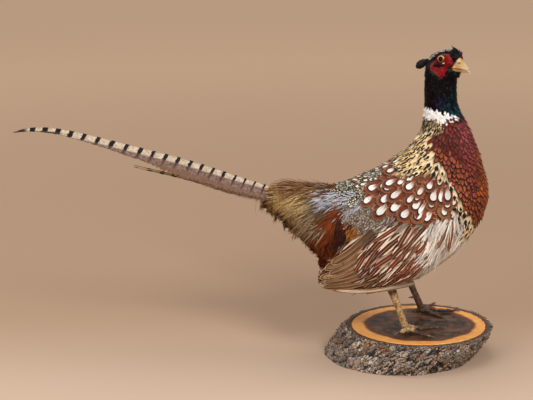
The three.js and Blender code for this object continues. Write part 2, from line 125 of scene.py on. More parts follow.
class Graph:
    """Builds a material's nodes in few words."""

    def __init__(self, name: str, roughness: float, **settings: object) -> None:
        """Starts a material round one Principled shader.

        Args:
            name: the material's name.
            roughness: how matt the surface is.
            settings: other inputs of the shader, with _ for each space in their names.
        """
        self.material = bpy.data.materials.new(name)
        self.material.use_nodes = True
        self.tree = self.material.node_tree
        self.shader = self.tree.nodes["Principled BSDF"]
        self.shader.inputs["Roughness"].default_value = roughness
        for key, value in settings.items():
            self.shader.inputs[key.replace("_", " ")].default_value = value

    def put(self, socket: bpy.types.NodeSocket, value: object) -> None:
        """Links or sets a socket.

        Args:
            socket: the input that gets the value.
            value: another node's output, a number, a vector or a colour.
        """
        if isinstance(value, Value):
            self.tree.links.new(value.socket, socket)
        elif isinstance(value, (tuple, list)) and socket.type == "RGBA" and len(value) == 3:
            socket.default_value = (*value, 1.0)
        else:
            socket.default_value = value

    def add(self, kind: str, inputs: dict | None = None, **properties: object) -> bpy.types.Node:
        """Adds a node.

        Args:
            kind: the node's type, without ShaderNode.
            inputs: values by socket name or number.
            properties: the node's own settings.

        Returns:
            The new node.
        """
        node = self.tree.nodes.new("ShaderNode" + kind)
        for key, value in properties.items():
            setattr(node, key, value)
        for key, value in (inputs or {}).items():
            self.put(node.inputs[key], value)
        return node

    def value(self, kind: str, inputs: dict | None = None, output: int | str = 0,
              **properties: object) -> Value:
        """Adds a node, as add does, and returns one of its outputs."""
        return Value(self, self.add(kind, inputs, **properties).outputs[output])

    def math(self, operation: str, first: object, second: object = 0.0) -> Value:
        """Returns the outcome of a Math node."""
        return self.value("Math", {0: first, 1: second}, operation=operation)

    def step(self, value: object, low: float, high: float) -> Value:
        """Returns 0 below low and 1 above high, with a smooth rise between them."""
        inputs = {"Value": value, "From Min": low, "From Max": high}
        return self.value("MapRange", inputs, "Result", interpolation_type="SMOOTHSTEP")

    def mix(self, share: object, first: object, second: object, blend: str = "MIX") -> Value:
        """Returns two colours mixed."""
        node = self.add("Mix", data_type="RGBA", blend_type=blend)
        for index, value in ((0, share), (6, first), (7, second)):
            self.put(node.inputs[index], value)
        return Value(self, node.outputs[2])

    def fade(self, value: object, low: float, high: float, first: object, second: object) -> Value:
        """Returns the first colour where a value is below low, and the second where it is above high."""
        return self.mix(self.step(value, low, high), first, second)

    def ramp(self, value: object, *stops: tuple[float, Colour]) -> Value:
        """Returns a colour from a ramp whose stops are a place and a colour each."""
        node = self.add("ValToRGB", {"Fac": value})
        elements = node.color_ramp.elements
        while len(elements) < len(stops):
            elements.new(0.5)
        for element, (place, colour) in zip(elements, stops):
            element.position = place
            element.color = (*colour, 1.0)
        return Value(self, node.outputs["Color"])

    def noise(self, scale: float, detail: float = 3.0, vector: Value | None = None,
              stretch: Point | None = None) -> Value:
        """Returns soft noise.

        Args:
            scale: how fine it is, in cells to the metre on object coordinates.
            detail: its octaves.
            vector: other coordinates than the object's.
            stretch: how much each axis is packed.

        Returns:
            The noise's value socket.
        """
        vector = vector or self.place()
        if stretch:
            vector = self.value("Mapping", {"Vector": vector, "Scale": stretch})
        return self.value("TexNoise", {"Vector": vector, "Scale": scale, "Detail": detail}, "Fac")

    def cells(self, scale: float) -> Value:
        """Returns how far each place is inside its cell of an irregular pattern."""
        inputs = {"Vector": self.place(), "Scale": scale}
        return self.value("TexVoronoi", inputs, "Distance", feature="DISTANCE_TO_EDGE")

    def place(self) -> Value:
        """Returns the object's own coordinates."""
        return self.value("TexCoord", output="Object")

    def read(self, name: str, output: str = "Fac") -> Value:
        """Returns an attribute of the mesh."""
        return self.value("Attribute", output=output, attribute_name=name)

    def flat(self) -> list[Value]:
        """Returns the two coordinates of the feathers' map."""
        parts = self.add("SeparateXYZ", {0: self.value("UVMap", uv_map=Coat.VANE_MAP)})
        return [Value(self, socket) for socket in parts.outputs[:2]]

    def vane(self) -> tuple[Value, Value]:
        """Returns a feather's own coordinates: from -1 to 1 across it, and from root to tip."""
        across, along = self.flat()
        return across * 2.0 - 1.0, along

    def colour(self, value: object) -> None:
        """Gives the shader its colour."""
        self.put(self.shader.inputs["Base Color"], value)

    def rough(self, value: object) -> None:
        """Gives the shader its roughness."""
        self.put(self.shader.inputs["Roughness"], value)

    def bump(self, height: object, distance: float, strength: float = 1.0) -> None:
        """Gives the shader its relief, of a depth in metres."""
        inputs = {"Height": height, "Distance": distance, "Strength": strength}
        self.put(self.shader.inputs["Normal"], self.value("Bump", inputs))


# ------------------------------------------------------------------ workshop


class Bench:
    """The hand operations that pieces are made with."""

    @staticmethod
    def clear() -> None:
        """Deselects everything."""
        if bpy.context.object and bpy.context.object.mode != "OBJECT":
            bpy.ops.object.mode_set(mode="OBJECT")
        bpy.ops.object.select_all(action="DESELECT")

    @staticmethod
    def take(piece: Piece) -> Piece:
        """Selects one piece alone and makes it active."""
        Bench.clear()
        piece.select_set(True)
        bpy.context.view_layer.objects.active = piece
        return piece

    @staticmethod
    def link(name: str, data: bpy.types.ID) -> Piece:
        """Puts a mesh, a camera or a light in the scene."""
        thing = bpy.data.objects.new(name, data)
        bpy.context.scene.collection.objects.link(thing)
        return thing

    @staticmethod
    def weave(name: str, points: Array, faces: Sequence[Sequence[int]]) -> Piece:
        """Makes a piece from points, in mm, and faces."""
        mesh = bpy.data.meshes.new(name)
        mesh.from_pydata((points * MM).tolist(), [], faces)
        return Bench.link(name, mesh)

    @staticmethod
    def edit(piece: Piece, operator: Callable, **settings: object) -> Piece:
        """Runs an operator on all of a piece's mesh.

        Args:
            piece: the piece that is changed.
            operator: the operator, for edit mode.
            settings: the operator's own settings.

        Returns:
            The piece.
        """
        Bench.take(piece)
        bpy.ops.object.mode_set(mode="EDIT")
        bpy.ops.mesh.select_all(action="SELECT")
        operator(**settings)
        bpy.ops.object.mode_set(mode="OBJECT")
        return piece

    @staticmethod
    def copy_nodes(name: str, nodes: Sequence[str]) -> Piece:
        """Copies nodes of the frame into one mesh with its loose triangles merged.

        Args:
            name: the new piece's name.
            nodes: the frame nodes that are copied.

        Returns:
            The new piece.
        """
        Bench.clear()
        copies = []
        for node in nodes:
            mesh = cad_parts[node].data.copy()
            mesh.materials.clear()
            copies.append(Bench.link(name, mesh))
        for copy in copies:
            copy.select_set(True)
        bpy.context.view_layer.objects.active = copies[0]
        if len(copies) > 1:
            bpy.ops.object.join()
        return Bench.edit(bpy.context.object, bpy.ops.mesh.remove_doubles, threshold=1e-5)

    @staticmethod
    def modify(piece: Piece, kind: str, **settings: object) -> None:
        """Adds a modifier and applies it.

        Args:
            piece: the piece that is changed.
            kind: the modifier's type.
            settings: the modifier's own settings.
        """
        Bench.take(piece)
        modifier = piece.modifiers.new(kind, kind)
        for key, value in settings.items():
            setattr(modifier, key, value)
        bpy.ops.object.modifier_apply(modifier=modifier.name)

    @staticmethod
    def melt(piece: Piece, size: float, rounds: int) -> None:
        """Makes a piece one fine, closed surface and smooths it.

        Args:
            piece: the piece that is changed.
            size: how wide its new faces are, in mm.
            rounds: how often it is smoothed.
        """
        Bench.modify(piece, "REMESH", mode="VOXEL", voxel_size=size * MM)
        Bench.modify(piece, "SMOOTH", factor=0.5, iterations=rounds)

    @staticmethod
    def smooth(piece: Piece) -> None:
        """Shades a piece smooth."""
        piece.data.polygons.foreach_set("use_smooth", np.ones(len(piece.data.polygons), bool))

    @staticmethod
    def finish(piece: Piece, slot: str, material: Material, *nodes: str) -> Piece:
        """Dresses a piece, shades it smooth and gives it its place in the frame.

        Args:
            piece: the finished piece.
            slot: the record's material slot; not used.
            material: its finish.
            nodes: the frame nodes that it stands for.

        Returns:
            The piece.
        """
        Bench.smooth(piece)
        piece.data.materials.clear()
        piece.data.materials.append(material)
        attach(piece, BODY)
        if nodes:
            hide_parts(*nodes)
        LOG.info("%s: %d faces", piece.name, len(piece.data.polygons))
        return piece


# ------------------------------------------------------------------ room


@dataclass
class Studio:
    """The camera, the soft lights and the pale floor."""

    target: Point = (-0.2376, 0.0, 0.2566)
    distance: float = 2.132
    elevation: float = 15.0
    lens: float = 90.0
    sensor: float = 36.0
    floor_reach: float = 9.0
    air: Colour = (0.26, 0.235, 0.215)
    floor: Colour = (0.605, 0.455, 0.346)
    floor_far: Colour = (0.45, 0.306, 0.211)
    fade: tuple[float, float] = (-0.22, 0.2)
    glow: Colour = (0.345, 0.236, 0.159)
    glow_reach: tuple[float, float] = (0.1, 3.2)

    def build(self) -> None:
        """Sets up the room."""
        bpy.context.scene.view_settings.view_transform = "Standard"
        self.add_camera()
        self.add_floor()
        self.add_lights()

    def add_camera(self) -> None:
        """Adds the camera, looking along +Y and a little down."""
        data = bpy.data.cameras.new("camera")
        data.lens = self.lens
        data.sensor_width = self.sensor
        camera = Bench.link("camera", data)
        rise = math.radians(self.elevation)
        offset = Vector((0.0, -math.cos(rise), math.sin(rise))) * self.distance
        camera.location = Vector(self.target) + offset
        camera.rotation_euler = (math.pi / 2 - rise, 0.0, 0.0)
        bpy.context.scene.camera = camera

    def add_floor(self) -> None:
        """Adds a plain paper floor, which glows a little far off so that it stays even."""
        Bench.clear()
        bpy.ops.mesh.primitive_circle_add(vertices=96, radius=self.floor_reach, fill_type="NGON")
        floor = bpy.context.object
        floor.name = "floor"
        graph = Graph("paper", 0.95, Specular_IOR_Level=0.1)
        depth = graph.value("SeparateXYZ", {0: graph.place()}, 1)
        graph.colour(graph.mix(graph.step(depth, *self.fade), self.floor, self.floor_far))
        away = graph.value("VectorMath", {0: graph.place()}, "Value", operation="LENGTH")
        graph.put(graph.shader.inputs["Emission Color"], self.glow)
        graph.put(graph.shader.inputs["Emission Strength"], graph.step(away, *self.glow_reach))
        floor.data.materials.append(graph.material)

    def add_lights(self) -> None:
        """Adds two soft boxes and the light of the room."""
        world = bpy.data.worlds.new("room")
        world.use_nodes = True
        background = world.node_tree.nodes["Background"]
        background.inputs["Color"].default_value = (*self.air, 1.0)
        background.inputs["Strength"].default_value = 1.0
        bpy.context.scene.world = world
        boxes = (
            ("key", (0.9, -1.6, 1.75), (-0.05, 0.0, 0.28), 0.8, 36.0, (1.0, 0.97, 0.93)),
            ("fill", (-1.5, -1.3, 1.0), (-0.15, 0.0, 0.25), 1.2, 15.0, (1.0, 0.98, 0.96)),
            ("top", (-0.25, 0.5, 2.1), (-0.1, 0.0, 0.2), 1.4, 20.0, (1.0, 0.97, 0.94)),
        )
        for name, place, target, size, power, colour in boxes:
            light = bpy.data.lights.new(name, "AREA")
            light.size = size
            light.energy = power
            light.color = colour
            lamp = Bench.link(name, light)
            lamp.location = place
            aim = Vector(target) - Vector(place)
            lamp.rotation_euler = aim.to_track_quat("-Z", "Y").to_euler()


# ------------------------------------------------------------------ head frame


@dataclass(frozen=True)
class HeadFrame:
    """The head's own axes: x ahead along the bill, y to its left and z up."""

    place: Point = (42.4, 0.0, 482.0)
    turn: float = 50.0

    def axes(self) -> Array:
        """Returns the three axes as rows."""
        turn = math.radians(self.turn)
        ahead = (math.cos(turn), -math.sin(turn), 0.0)
        left = (math.sin(turn), math.cos(turn), 0.0)
        return np.array((ahead, left, (0.0, 0.0, 1.0)))

    def to_frame(self, points: Sequence[Point] | Array) -> Array:
        """Turns points of the head, in mm, into points of the frame, in mm."""
        return np.asarray(points, float) @ self.axes() + np.array(self.place)

    def to_head(self, points: Array) -> Array:
        """Turns points of the frame, in mm, into points of the head, in mm."""
        return (points - np.array(self.place)) @ self.axes().T


HEAD = HeadFrame()


# ------------------------------------------------------------------ plumage map


class Marking(Enum):
    """What is drawn on a feather."""

    PLAIN = auto()
    SCALE = auto()
    STREAK = auto()
    TIPPED = auto()
    TEARDROP = auto()
    RINGED = auto()
    VERMICULATED = auto()
    STRIPED = auto()
    BARRED = auto()
    EDGED = auto()


class Cut(Enum):
    """The outline of a feather: its half width at shares of its length."""

    ROUND = ((0.0, 0.3), (0.25, 0.78), (0.55, 1.0), (0.8, 0.9), (0.93, 0.6), (1.0, 0.16))
    LEAF = ((0.0, 0.25), (0.2, 0.72), (0.45, 1.0), (0.7, 0.82), (0.88, 0.45), (1.0, 0.06))
    BLADE = ((0.0, 0.35), (0.2, 0.85), (0.5, 1.0), (0.8, 0.85), (0.93, 0.5), (1.0, 0.08))
    WISP = ((0.0, 0.8), (0.3, 1.0), (0.6, 0.8), (0.85, 0.45), (1.0, 0.05))
    FLAME = ((0.0, 0.25), (0.2, 0.7), (0.5, 1.0), (0.75, 0.8), (0.9, 0.42), (1.0, 0.05))


@dataclass(frozen=True)
class Dye:
    """A colour that tints part of a tract: all of it, or round a place (x, z)."""

    colour: Colour
    share: float = 1.0
    centre: tuple[float, float] | None = None
    reach: float = 30.0


@dataclass(frozen=True)
class Tract:
    """A patch of plumage with one kind of feather. Sizes are in mm."""

    name: str
    slot: str
    outline: Line
    spacing: float
    length: float
    width: float
    lift: float
    cut: Cut
    marking: Marking
    ground: tuple[Dye, ...]
    mark: tuple[Dye, ...] = (Dye((0.006, 0.005, 0.005)),)
    rows: int = 5
    columns: int = 4
    camber: float = 0.12
    turn: float = 7.0
    pick: bool = True
    on_head: bool = False
    below: bool = False
    stray: float = 0.0
    stretch: float = 1.0
    clump: float = 0.0
    gloss: float = 0.25
    soft: float = 2.5
    roughness: float = 0.62
    metallic: float = 0.0


EVERYWHERE = ((-400.0, -400.0), (-400.0, 700.0), (400.0, 700.0), (400.0, -400.0))

BORDER = ((10, 342), (20, 338), (28, 330), (36, 320), (44, 309), (54, 291), (63, 272), (73, 252), (90, 228),
          (101, 210), (97, 192), (82, 188), (72, 214), (60, 242), (50, 260), (42, 281), (36, 297),
          (27, 310), (16, 322))

FRONT_TRACTS = (
    Tract(
        "tuft", "dark_feathers", ((-80, -60), (-80, 30), (-29, 30), (-29, -60)), 1.6, 5.5, 2.0, 1.4,
        Cut.LEAF, Marking.PLAIN, (Dye((0.003, 0.003, 0.004)), Dye((0.006, 0.008, 0.012), 0.5)), rows=4,
        columns=2, on_head=True, roughness=0.5, turn=14.0, soft=0.5, gloss=0.15,
    ),
    Tract(
        "forehead", "dark_feathers",
        ((15, 11.5), (12, 15.5), (12, 40), (45, 40), (45, 5), (27, 5), (24, 9)), 1.7, 6.0, 2.0, 3.2,
        Cut.LEAF, Marking.PLAIN, (Dye((0.003, 0.003, 0.004)), Dye((0.02, 0.034, 0.044), 0.6)), rows=4,
        columns=2, on_head=True, roughness=0.42, metallic=0.4, turn=26.0, soft=0.5, stray=0.12, gloss=0.1,
    ),
    Tract(
        "crown", "dark_feathers",
        ((-24, -2.5), (-26, 40), (12, 40), (12, 15.6), (4, 15.0), (-3, 13.4), (-8.2, 9.3), (-13.5, 3.6),
         (-17.5, -1)),
        1.7, 7.5, 1.7, 1.3, Cut.LEAF, Marking.STREAK,
        (Dye((0.5, 0.47, 0.4)), Dye((0.88, 0.86, 0.81), 0.9), Dye((0.16, 0.13, 0.08), 0.3)), rows=3,
        columns=2, on_head=True, soft=0.5, turn=9.0, stretch=1.5,
    ),
    Tract(
        "face", "dark_feathers", EVERYWHERE, 2.0, 6.5, 3.0, 2.2, Cut.LEAF, Marking.SCALE,
        (Dye((0.004, 0.003, 0.004)), Dye((0.006, 0.018, 0.024), 0.5)), rows=4, columns=2, on_head=True,
        roughness=0.36, metallic=0.4, turn=14.0, gloss=0.1, soft=0.8,
    ),
    Tract(
        "neck", "dark_feathers",
        ((-60, 408.5), (14, 408.5), (27, 406), (40, 402), (54, 399), (66, 395), (140, 398), (140, 520),
         (-60, 520)),
        2.5, 8.0, 4.2, 2.4, Cut.ROUND, Marking.SCALE,
        (Dye((0.004, 0.002, 0.003)), Dye((0.014, 0.005, 0.007), 0.6),
         # partly painted sheen: the neck's own teal and purple gloss, put only on its front where the sheen
         # shows
         Dye((0.012, 0.078, 0.112), 1.7, (60, 406), 15.0), Dye((0.008, 0.044, 0.07), 1.2, (42, 414), 15.0),
         Dye((0.012, 0.011, 0.042), 1.2, (36, 426), 14.0), Dye((0.008, 0.045, 0.055), 1.2, (56, 432), 15.0)),
        rows=4, columns=3, roughness=0.34, metallic=0.4, gloss=0.06, soft=0.4,
    ),
    Tract(
        "collar", "white_feathers",
        ((-60, 408.5), (14, 408.5), (27, 406), (40, 402), (59, 398.5), (52, 397), (45, 395.5), (33, 391.5),
         (24, 396.5), (19, 393), (15, 394.5), (8, 396.5), (-60, 398.5)),
        1.7, 7.5, 4.6, 2.4, Cut.ROUND, Marking.PLAIN,
        (Dye((0.96, 0.96, 0.97)), Dye((0.88, 0.88, 0.89), 0.3)), rows=4, columns=2, soft=0.7, turn=14.0,
        pick=False,
    ),
    Tract(
        "nape", "mantle_feathers",
        ((-60, 398.5), (8, 396.5), (15, 394.5), (19, 393), (24, 396.5), (33, 391.5), (31, 378), (26, 370),
         (12, 373), (-60, 378)),
        3.4, 10.0, 4.8, 2.6, Cut.LEAF, Marking.STREAK,
        (Dye((0.7, 0.52, 0.27)), Dye((0.84, 0.75, 0.6), 0.6),
         Dye((0.02, 0.01, 0.006), 1.5, (18, 388), 13.0)),
        rows=6, columns=4, soft=1.5,
    ),
    Tract(
        "breast_border", "mantle_feathers", BORDER, 6.8, 19.0, 11.0, 3.6, Cut.ROUND, Marking.TIPPED,
        (Dye((0.74, 0.58, 0.35)), Dye((0.82, 0.69, 0.48), 0.8),
         Dye((0.76, 0.4, 0.12), 1.4, (84, 222), 26.0)),
        rows=8, columns=6, stretch=1.2, soft=1.0,
    ),
    Tract(
        "breast_low", "copper_feathers",
        ((8, 348), (24, 348), (44, 344), (60, 330), (76, 310), (88, 292), (98, 270), (102, 240), (102, 206),
         (99, 206), (91, 226), (73, 252), (63, 272), (54, 291), (44, 309), (36, 320), (28, 330), (20, 338),
         (10, 342)),
        4.7, 13.0, 7.6, 3.4, Cut.ROUND, Marking.SCALE,
        (Dye((0.27, 0.056, 0.023)), Dye((0.29, 0.074, 0.038), 1.6, (22, 345), 24.0),
         Dye((0.42, 0.125, 0.055), 1.7, (60, 296), 17.0), Dye((0.19, 0.036, 0.032), 1.3, (85, 300), 22.0),
         Dye((0.32, 0.08, 0.024), 1.3, (92, 262), 26.0)),
        rows=6, columns=5, roughness=0.42, metallic=0.3, gloss=0.15, turn=5.0, soft=5.0, stretch=1.1,
        pick=False,
    ),
    Tract(
        "breast", "copper_feathers",
        ((29, 420), (33, 390), (29, 381), (21, 365), (12, 350), (10, 342), (99, 206), (200, 206),
         (200, 420)),
        3.8, 13.0, 6.2, 3.0, Cut.LEAF, Marking.SCALE,
        # partly painted sheen: the breast's own purple gloss, put on its upper front where the sheen shows
        (Dye((0.148, 0.021, 0.011)), Dye((0.43, 0.095, 0.108), 2.0, (74, 380), 17.0),
         Dye((0.37, 0.074, 0.082), 1.8, (84, 350), 15.0), Dye((0.19, 0.038, 0.036), 1.2, (84, 318), 16.0),
         Dye((0.085, 0.011, 0.006), 1.5, (50, 356), 20.0), Dye((0.19, 0.034, 0.03), 1.2, (45, 380), 14.0),
         Dye((0.62, 0.15, 0.036), 2.2, (107, 335), 18.0), Dye((0.64, 0.16, 0.038), 2.2, (115, 290), 22.0),
         Dye((0.46, 0.105, 0.018), 2.0, (109, 240), 22.0)),
        rows=6, columns=4, roughness=0.4, metallic=0.3, gloss=0.15, turn=6.0, stretch=1.45, soft=4.0,
        pick=False,
    ),
    Tract(
        "mantle", "mantle_feathers",
        ((-60, 378), (12, 373), (26, 370), (21, 365), (12, 350), (10, 342), (16, 322), (27, 310), (12, 307),
         (-6, 307), (-21, 311), (-34, 313), (-36, 350)),
        4.5, 17.0, 7.2, 3.4, Cut.LEAF, Marking.STREAK,
        (Dye((0.87, 0.585, 0.24)), Dye((0.94, 0.77, 0.48), 0.9), Dye((0.6, 0.33, 0.1), 0.6)), rows=7,
        columns=6, turn=6.0, stretch=1.4,
    ),
)


def edge_gap(outline: Line, x: Array, z: Array) -> Array:
    """Returns how far places are within an outline of the side view, and less than 0 outside it."""
    place = np.stack((x, z), 1)
    gap = np.full(len(x), 1e9)
    for start, end in zip(outline, (*outline[1:], outline[0])):
        start, run = np.array(start, float), np.subtract(end, start)
        share = np.clip((place - start) @ run / (run @ run), 0, 1)
        gap = np.minimum(gap, np.linalg.norm(place - start - share[:, None] * run, axis=1))
    return np.where(inside(outline, x, z), gap, -gap)


def inside(outline: Line, x: Array, z: Array) -> Array:
    """Finds the points within an outline of the side view.

    Args:
        outline: its corners.
        x: the points' x.
        z: the points' z.

    Returns:
        True for each point within it.
    """
    found = np.zeros(len(x), bool)
    for (x0, z0), (x1, z1) in zip(outline, (*outline[1:], outline[0])):
        if z0 == z1:
            continue
        crosses = ((z0 > z) != (z1 > z)) & (x < (x1 - x0) * (z - z0) / (z1 - z0) + x0)
        found ^= crosses
    return found


BACK_TRACTS = (
    Tract(
        "saddle", "wing_feathers",
        ((-33, 324), (-41, 319), (-58, 309), (-71, 302), (-75, 291), (-90, 289), (-113, 284), (-129, 279),
         (-150, 340), (-36, 420)),
        5.2, 15.0, 10.0, 4.4, Cut.ROUND, Marking.RINGED,
        (Dye((0.82, 0.77, 0.66)), Dye((0.66, 0.5, 0.27), 0.6), Dye((0.34, 0.29, 0.2), 0.4)),
        (Dye((0.3, 0.165, 0.06)), Dye((0.15, 0.12, 0.08), 0.8)), rows=7, columns=6, stretch=1.2, turn=5.0,
    ),
    Tract(
        "back", "wing_feathers",
        ((-129, 279), (-113, 284), (-90, 289), (-75, 291), (-71, 302), (-58, 309), (-70, 290), (-79, 280),
         (-88, 264), (-115, 264), (-127, 267), (-138, 279)),
        5.6, 17.0, 9.0, 3.2, Cut.ROUND, Marking.VERMICULATED,
        (Dye((0.56, 0.51, 0.39)), Dye((0.7, 0.64, 0.52), 0.8), Dye((0.34, 0.34, 0.28), 0.8)),
        (Dye((0.02, 0.015, 0.01)),), rows=5, columns=4,
    ),
    Tract(
        "rump_blue", "rump_feathers",
        ((-167, 275), (-156, 281), (-137, 279), (-125, 271), (-121, 261), (-104, 269), (-90, 264),
         (-104, 249), (-112, 236), (-119, 240), (-128, 255), (-142, 252), (-158, 246)),
        2.2, 22.0, 1.9, 3.2, Cut.WISP, Marking.PLAIN,
        (Dye((0.4, 0.43, 0.53)), Dye((0.55, 0.58, 0.66), 0.8), Dye((0.22, 0.18, 0.15), 0.7),
         Dye((0.44, 0.36, 0.28), 0.7), Dye((0.28, 0.13, 0.07), 1.6, (-121, 252), 8.0)),
        rows=5, columns=1, turn=9.0, clump=9.0, soft=5.0, stray=0.05,
    ),
    Tract(
        "coverts", "wing_feathers",
        ((-112, 236), (-104, 249), (-90, 264), (-78, 262), (-62, 252), (-40, 244), (-46, 230), (-66, 222),
         (-83, 214), (-92, 220), (-104, 226)),
        6.0, 22.0, 11.0, 3.6, Cut.ROUND, Marking.VERMICULATED,
        (Dye((0.33, 0.275, 0.22)), Dye((0.4, 0.35, 0.29), 0.8), Dye((0.24, 0.18, 0.14), 0.5)),
        (Dye((0.11, 0.075, 0.055)),), rows=5, columns=4,
    ),
    Tract(
        "rump_orange", "rump_feathers", ((-110, 220), (-98, 229), (-86, 222), (-93, 208), (-106, 206)), 2.4,
        16.0, 3.2, 4.2, Cut.WISP, Marking.PLAIN, (Dye((0.38, 0.15, 0.032)), Dye((0.24, 0.085, 0.022), 0.8)),
        rows=5, columns=2, soft=1.5, clump=8.0, gloss=0.1, pick=False,
    ),
    Tract(
        "rump_dark", "rump_feathers",
        ((-130, 241), (-115, 236), (-104, 221), (-106, 198), (-125, 180), (-137, 186)), 2.1, 22.0, 2.2, 3.8,
        Cut.WISP, Marking.PLAIN,
        (Dye((0.034, 0.008, 0.005)), Dye((0.07, 0.024, 0.015), 0.9), Dye((0.13, 0.026, 0.007), 0.6)),
        rows=5, columns=1, turn=12.0, clump=9.0, soft=4.0, stray=0.05, gloss=0.1,
    ),
    Tract(
        "rump_rust", "rump_feathers",
        ((-163, 198), (-157, 216), (-146, 237), (-133, 250), (-112, 238), (-104, 221), (-112, 196),
         (-120, 176), (-134, 150), (-136, 110), (-190, 110), (-190, 172)),
        1.9, 30.0, 2.0, 4.6, Cut.WISP, Marking.PLAIN,
        (Dye((0.19, 0.036, 0.006)), Dye((0.1, 0.018, 0.004), 0.9), Dye((0.3, 0.085, 0.018), 0.6),
         Dye((0.56, 0.44, 0.31), 1.5, (-148, 228), 12.0), Dye((0.16, 0.09, 0.045), 0.5)),
        rows=5, columns=1, turn=9.0, clump=11.0, soft=5.0, stray=0.08, gloss=0.1,
    ),
    Tract(
        "rump_tuft", "rump_feathers",
        ((-250, 300), (-250, 274), (-215, 275), (-180, 278), (-155, 281), (-140, 285), (-140, 310)), 2.2,
        26.0, 2.4, 6.0, Cut.WISP, Marking.PLAIN,
        (Dye((0.19, 0.08, 0.03)), Dye((0.3, 0.15, 0.05), 0.9),
         Dye((0.44, 0.25, 0.085), 1.5, (-222, 280), 28.0), Dye((0.09, 0.035, 0.016), 0.5)),
        rows=5, columns=1, turn=15.0, clump=10.0, stray=0.4, soft=1.5,
    ),
    Tract(
        "rump", "rump_feathers", ((-290, 300), (-290, 176), (-133, 176), (-133, 300)), 1.9, 33.0, 2.1, 4.8,
        Cut.WISP, Marking.BARRED,
        (Dye((0.6, 0.36, 0.115), 1.0, (-208, 272), 44.0), Dye((0.48, 0.33, 0.14), 1.0, (-188, 262), 40.0),
         Dye((0.72, 0.48, 0.19), 0.8, (-210, 272), 34.0), Dye((0.25, 0.125, 0.048), 1.2, (-205, 215), 46.0),
         Dye((0.29, 0.21, 0.13), 0.9, (-165, 240), 26.0), Dye((0.24, 0.11, 0.042), 0.7, (-180, 195), 40.0),
         Dye((0.1, 0.06, 0.028), 0.6)),
        (Dye((0.05, 0.03, 0.014)),), rows=5, columns=1, turn=9.0, clump=12.0, stray=0.1,
    ),
    Tract(
        "thigh", "flank_feathers", ((-75, 50), (-75, 109), (-30, 112), (30, 121), (30, 50)), 2.0, 10.0, 3.0,
        1.4, Cut.LEAF, Marking.STREAK,
        (Dye((0.2, 0.13, 0.07)), Dye((0.36, 0.26, 0.14), 0.8), Dye((0.1, 0.065, 0.04), 0.8)),
        (Dye((0.07, 0.04, 0.025)),), rows=4, columns=2, turn=9.0, soft=1.0,
    ),
    Tract(
        "under", "flank_feathers", ((-170, 60), (-170, 190), (60, 190), (110, 215), (110, 60)), 2.6, 15.0,
        3.0, 2.4, Cut.LEAF, Marking.PLAIN,
        (Dye((0.42, 0.34, 0.24)), Dye((0.22, 0.14, 0.08), 0.8), Dye((0.62, 0.55, 0.44), 0.8)), rows=4,
        columns=2, turn=9.0, below=True, clump=9.0,
    ),
    Tract(
        "belly", "flank_feathers",
        ((6, 212), (15, 232), (30, 238), (51, 240), (64, 243), (76, 224), (90, 196), (120, 190), (60, 60),
         (-20, 60), (-12, 140), (2, 165), (8, 190)),
        2.0, 26.0, 2.3, 4.2, Cut.WISP, Marking.PLAIN,
        (Dye((0.88, 0.82, 0.75)), Dye((0.74, 0.66, 0.58), 0.9), Dye((0.97, 0.94, 0.89), 0.9),
         Dye((0.32, 0.19, 0.11), 0.55), Dye((0.56, 0.48, 0.38), 0.9, (25, 205), 16.0),
         Dye((0.88, 0.72, 0.52), 0.9, (-5, 138), 20.0), Dye((0.88, 0.72, 0.52), 0.9, (45, 150), 18.0)),
        rows=5, columns=1, turn=9.0, clump=10.0, soft=5.0, stray=0.05,
    ),
    Tract(
        "shoulder", "wing_feathers",
        ((-100, 300), (-88, 262), (-66, 247), (-50, 243), (-30, 240), (0, 238), (30, 240), (64, 246),
         (64, 330), (-60, 330)),
        5.4, 14.0, 8.6, 2.4, Cut.ROUND, Marking.SCALE,
        (Dye((0.17, 0.036, 0.016)), Dye((0.26, 0.085, 0.034), 0.6), Dye((0.12, 0.026, 0.013), 0.6),
         Dye((0.54, 0.38, 0.21), 2.4, (54, 238), 15.0), Dye((0.58, 0.46, 0.3), 1.8, (-20, 306), 14.0)),
        (Dye((0.42, 0.22, 0.1)), Dye((0.05, 0.015, 0.01), 0.8)), rows=5, columns=4,
    ),
    Tract(
        "flank", "flank_feathers",
        ((-250, 60), (-250, 172), (-150, 182), (-106, 222), (-60, 250), (200, 250), (200, 60)), 6.0, 47.0,
        13.6, 4.6, Cut.FLAME, Marking.STRIPED,
        (Dye((0.76, 0.63, 0.47)), Dye((0.97, 0.92, 0.83), 0.55), Dye((0.42, 0.27, 0.15), 0.75),
         Dye((0.26, 0.15, 0.07), 1.3, (-128, 150), 30.0)),
        (Dye((0.075, 0.008, 0.003)), Dye((0.15, 0.022, 0.007), 0.8), Dye((0.34, 0.22, 0.12), 0.4),
         Dye((0.06, 0.03, 0.014), 1.2, (-128, 150), 30.0)),
        rows=8, columns=6, turn=7.0, stretch=2.0, stray=0.1,
    ),
)

SCAPULAR = Tract(
    "scapular", "wing_feathers", (), 0.0, 39.0, 24.5, 5.0, Cut.ROUND, Marking.TEARDROP,
    (Dye((0.8, 0.78, 0.75)), Dye((0.64, 0.57, 0.48), 0.35)),
    (Dye((0.155, 0.03, 0.013)), Dye((0.22, 0.06, 0.022), 0.7),
     Dye((0.42, 0.19, 0.07), 1.4, (45, 262), 24.0), Dye((0.5, 0.34, 0.17), 2.0, (50, 248), 14.0)),
    rows=10, columns=8, turn=3.0, camber=0.14,
)

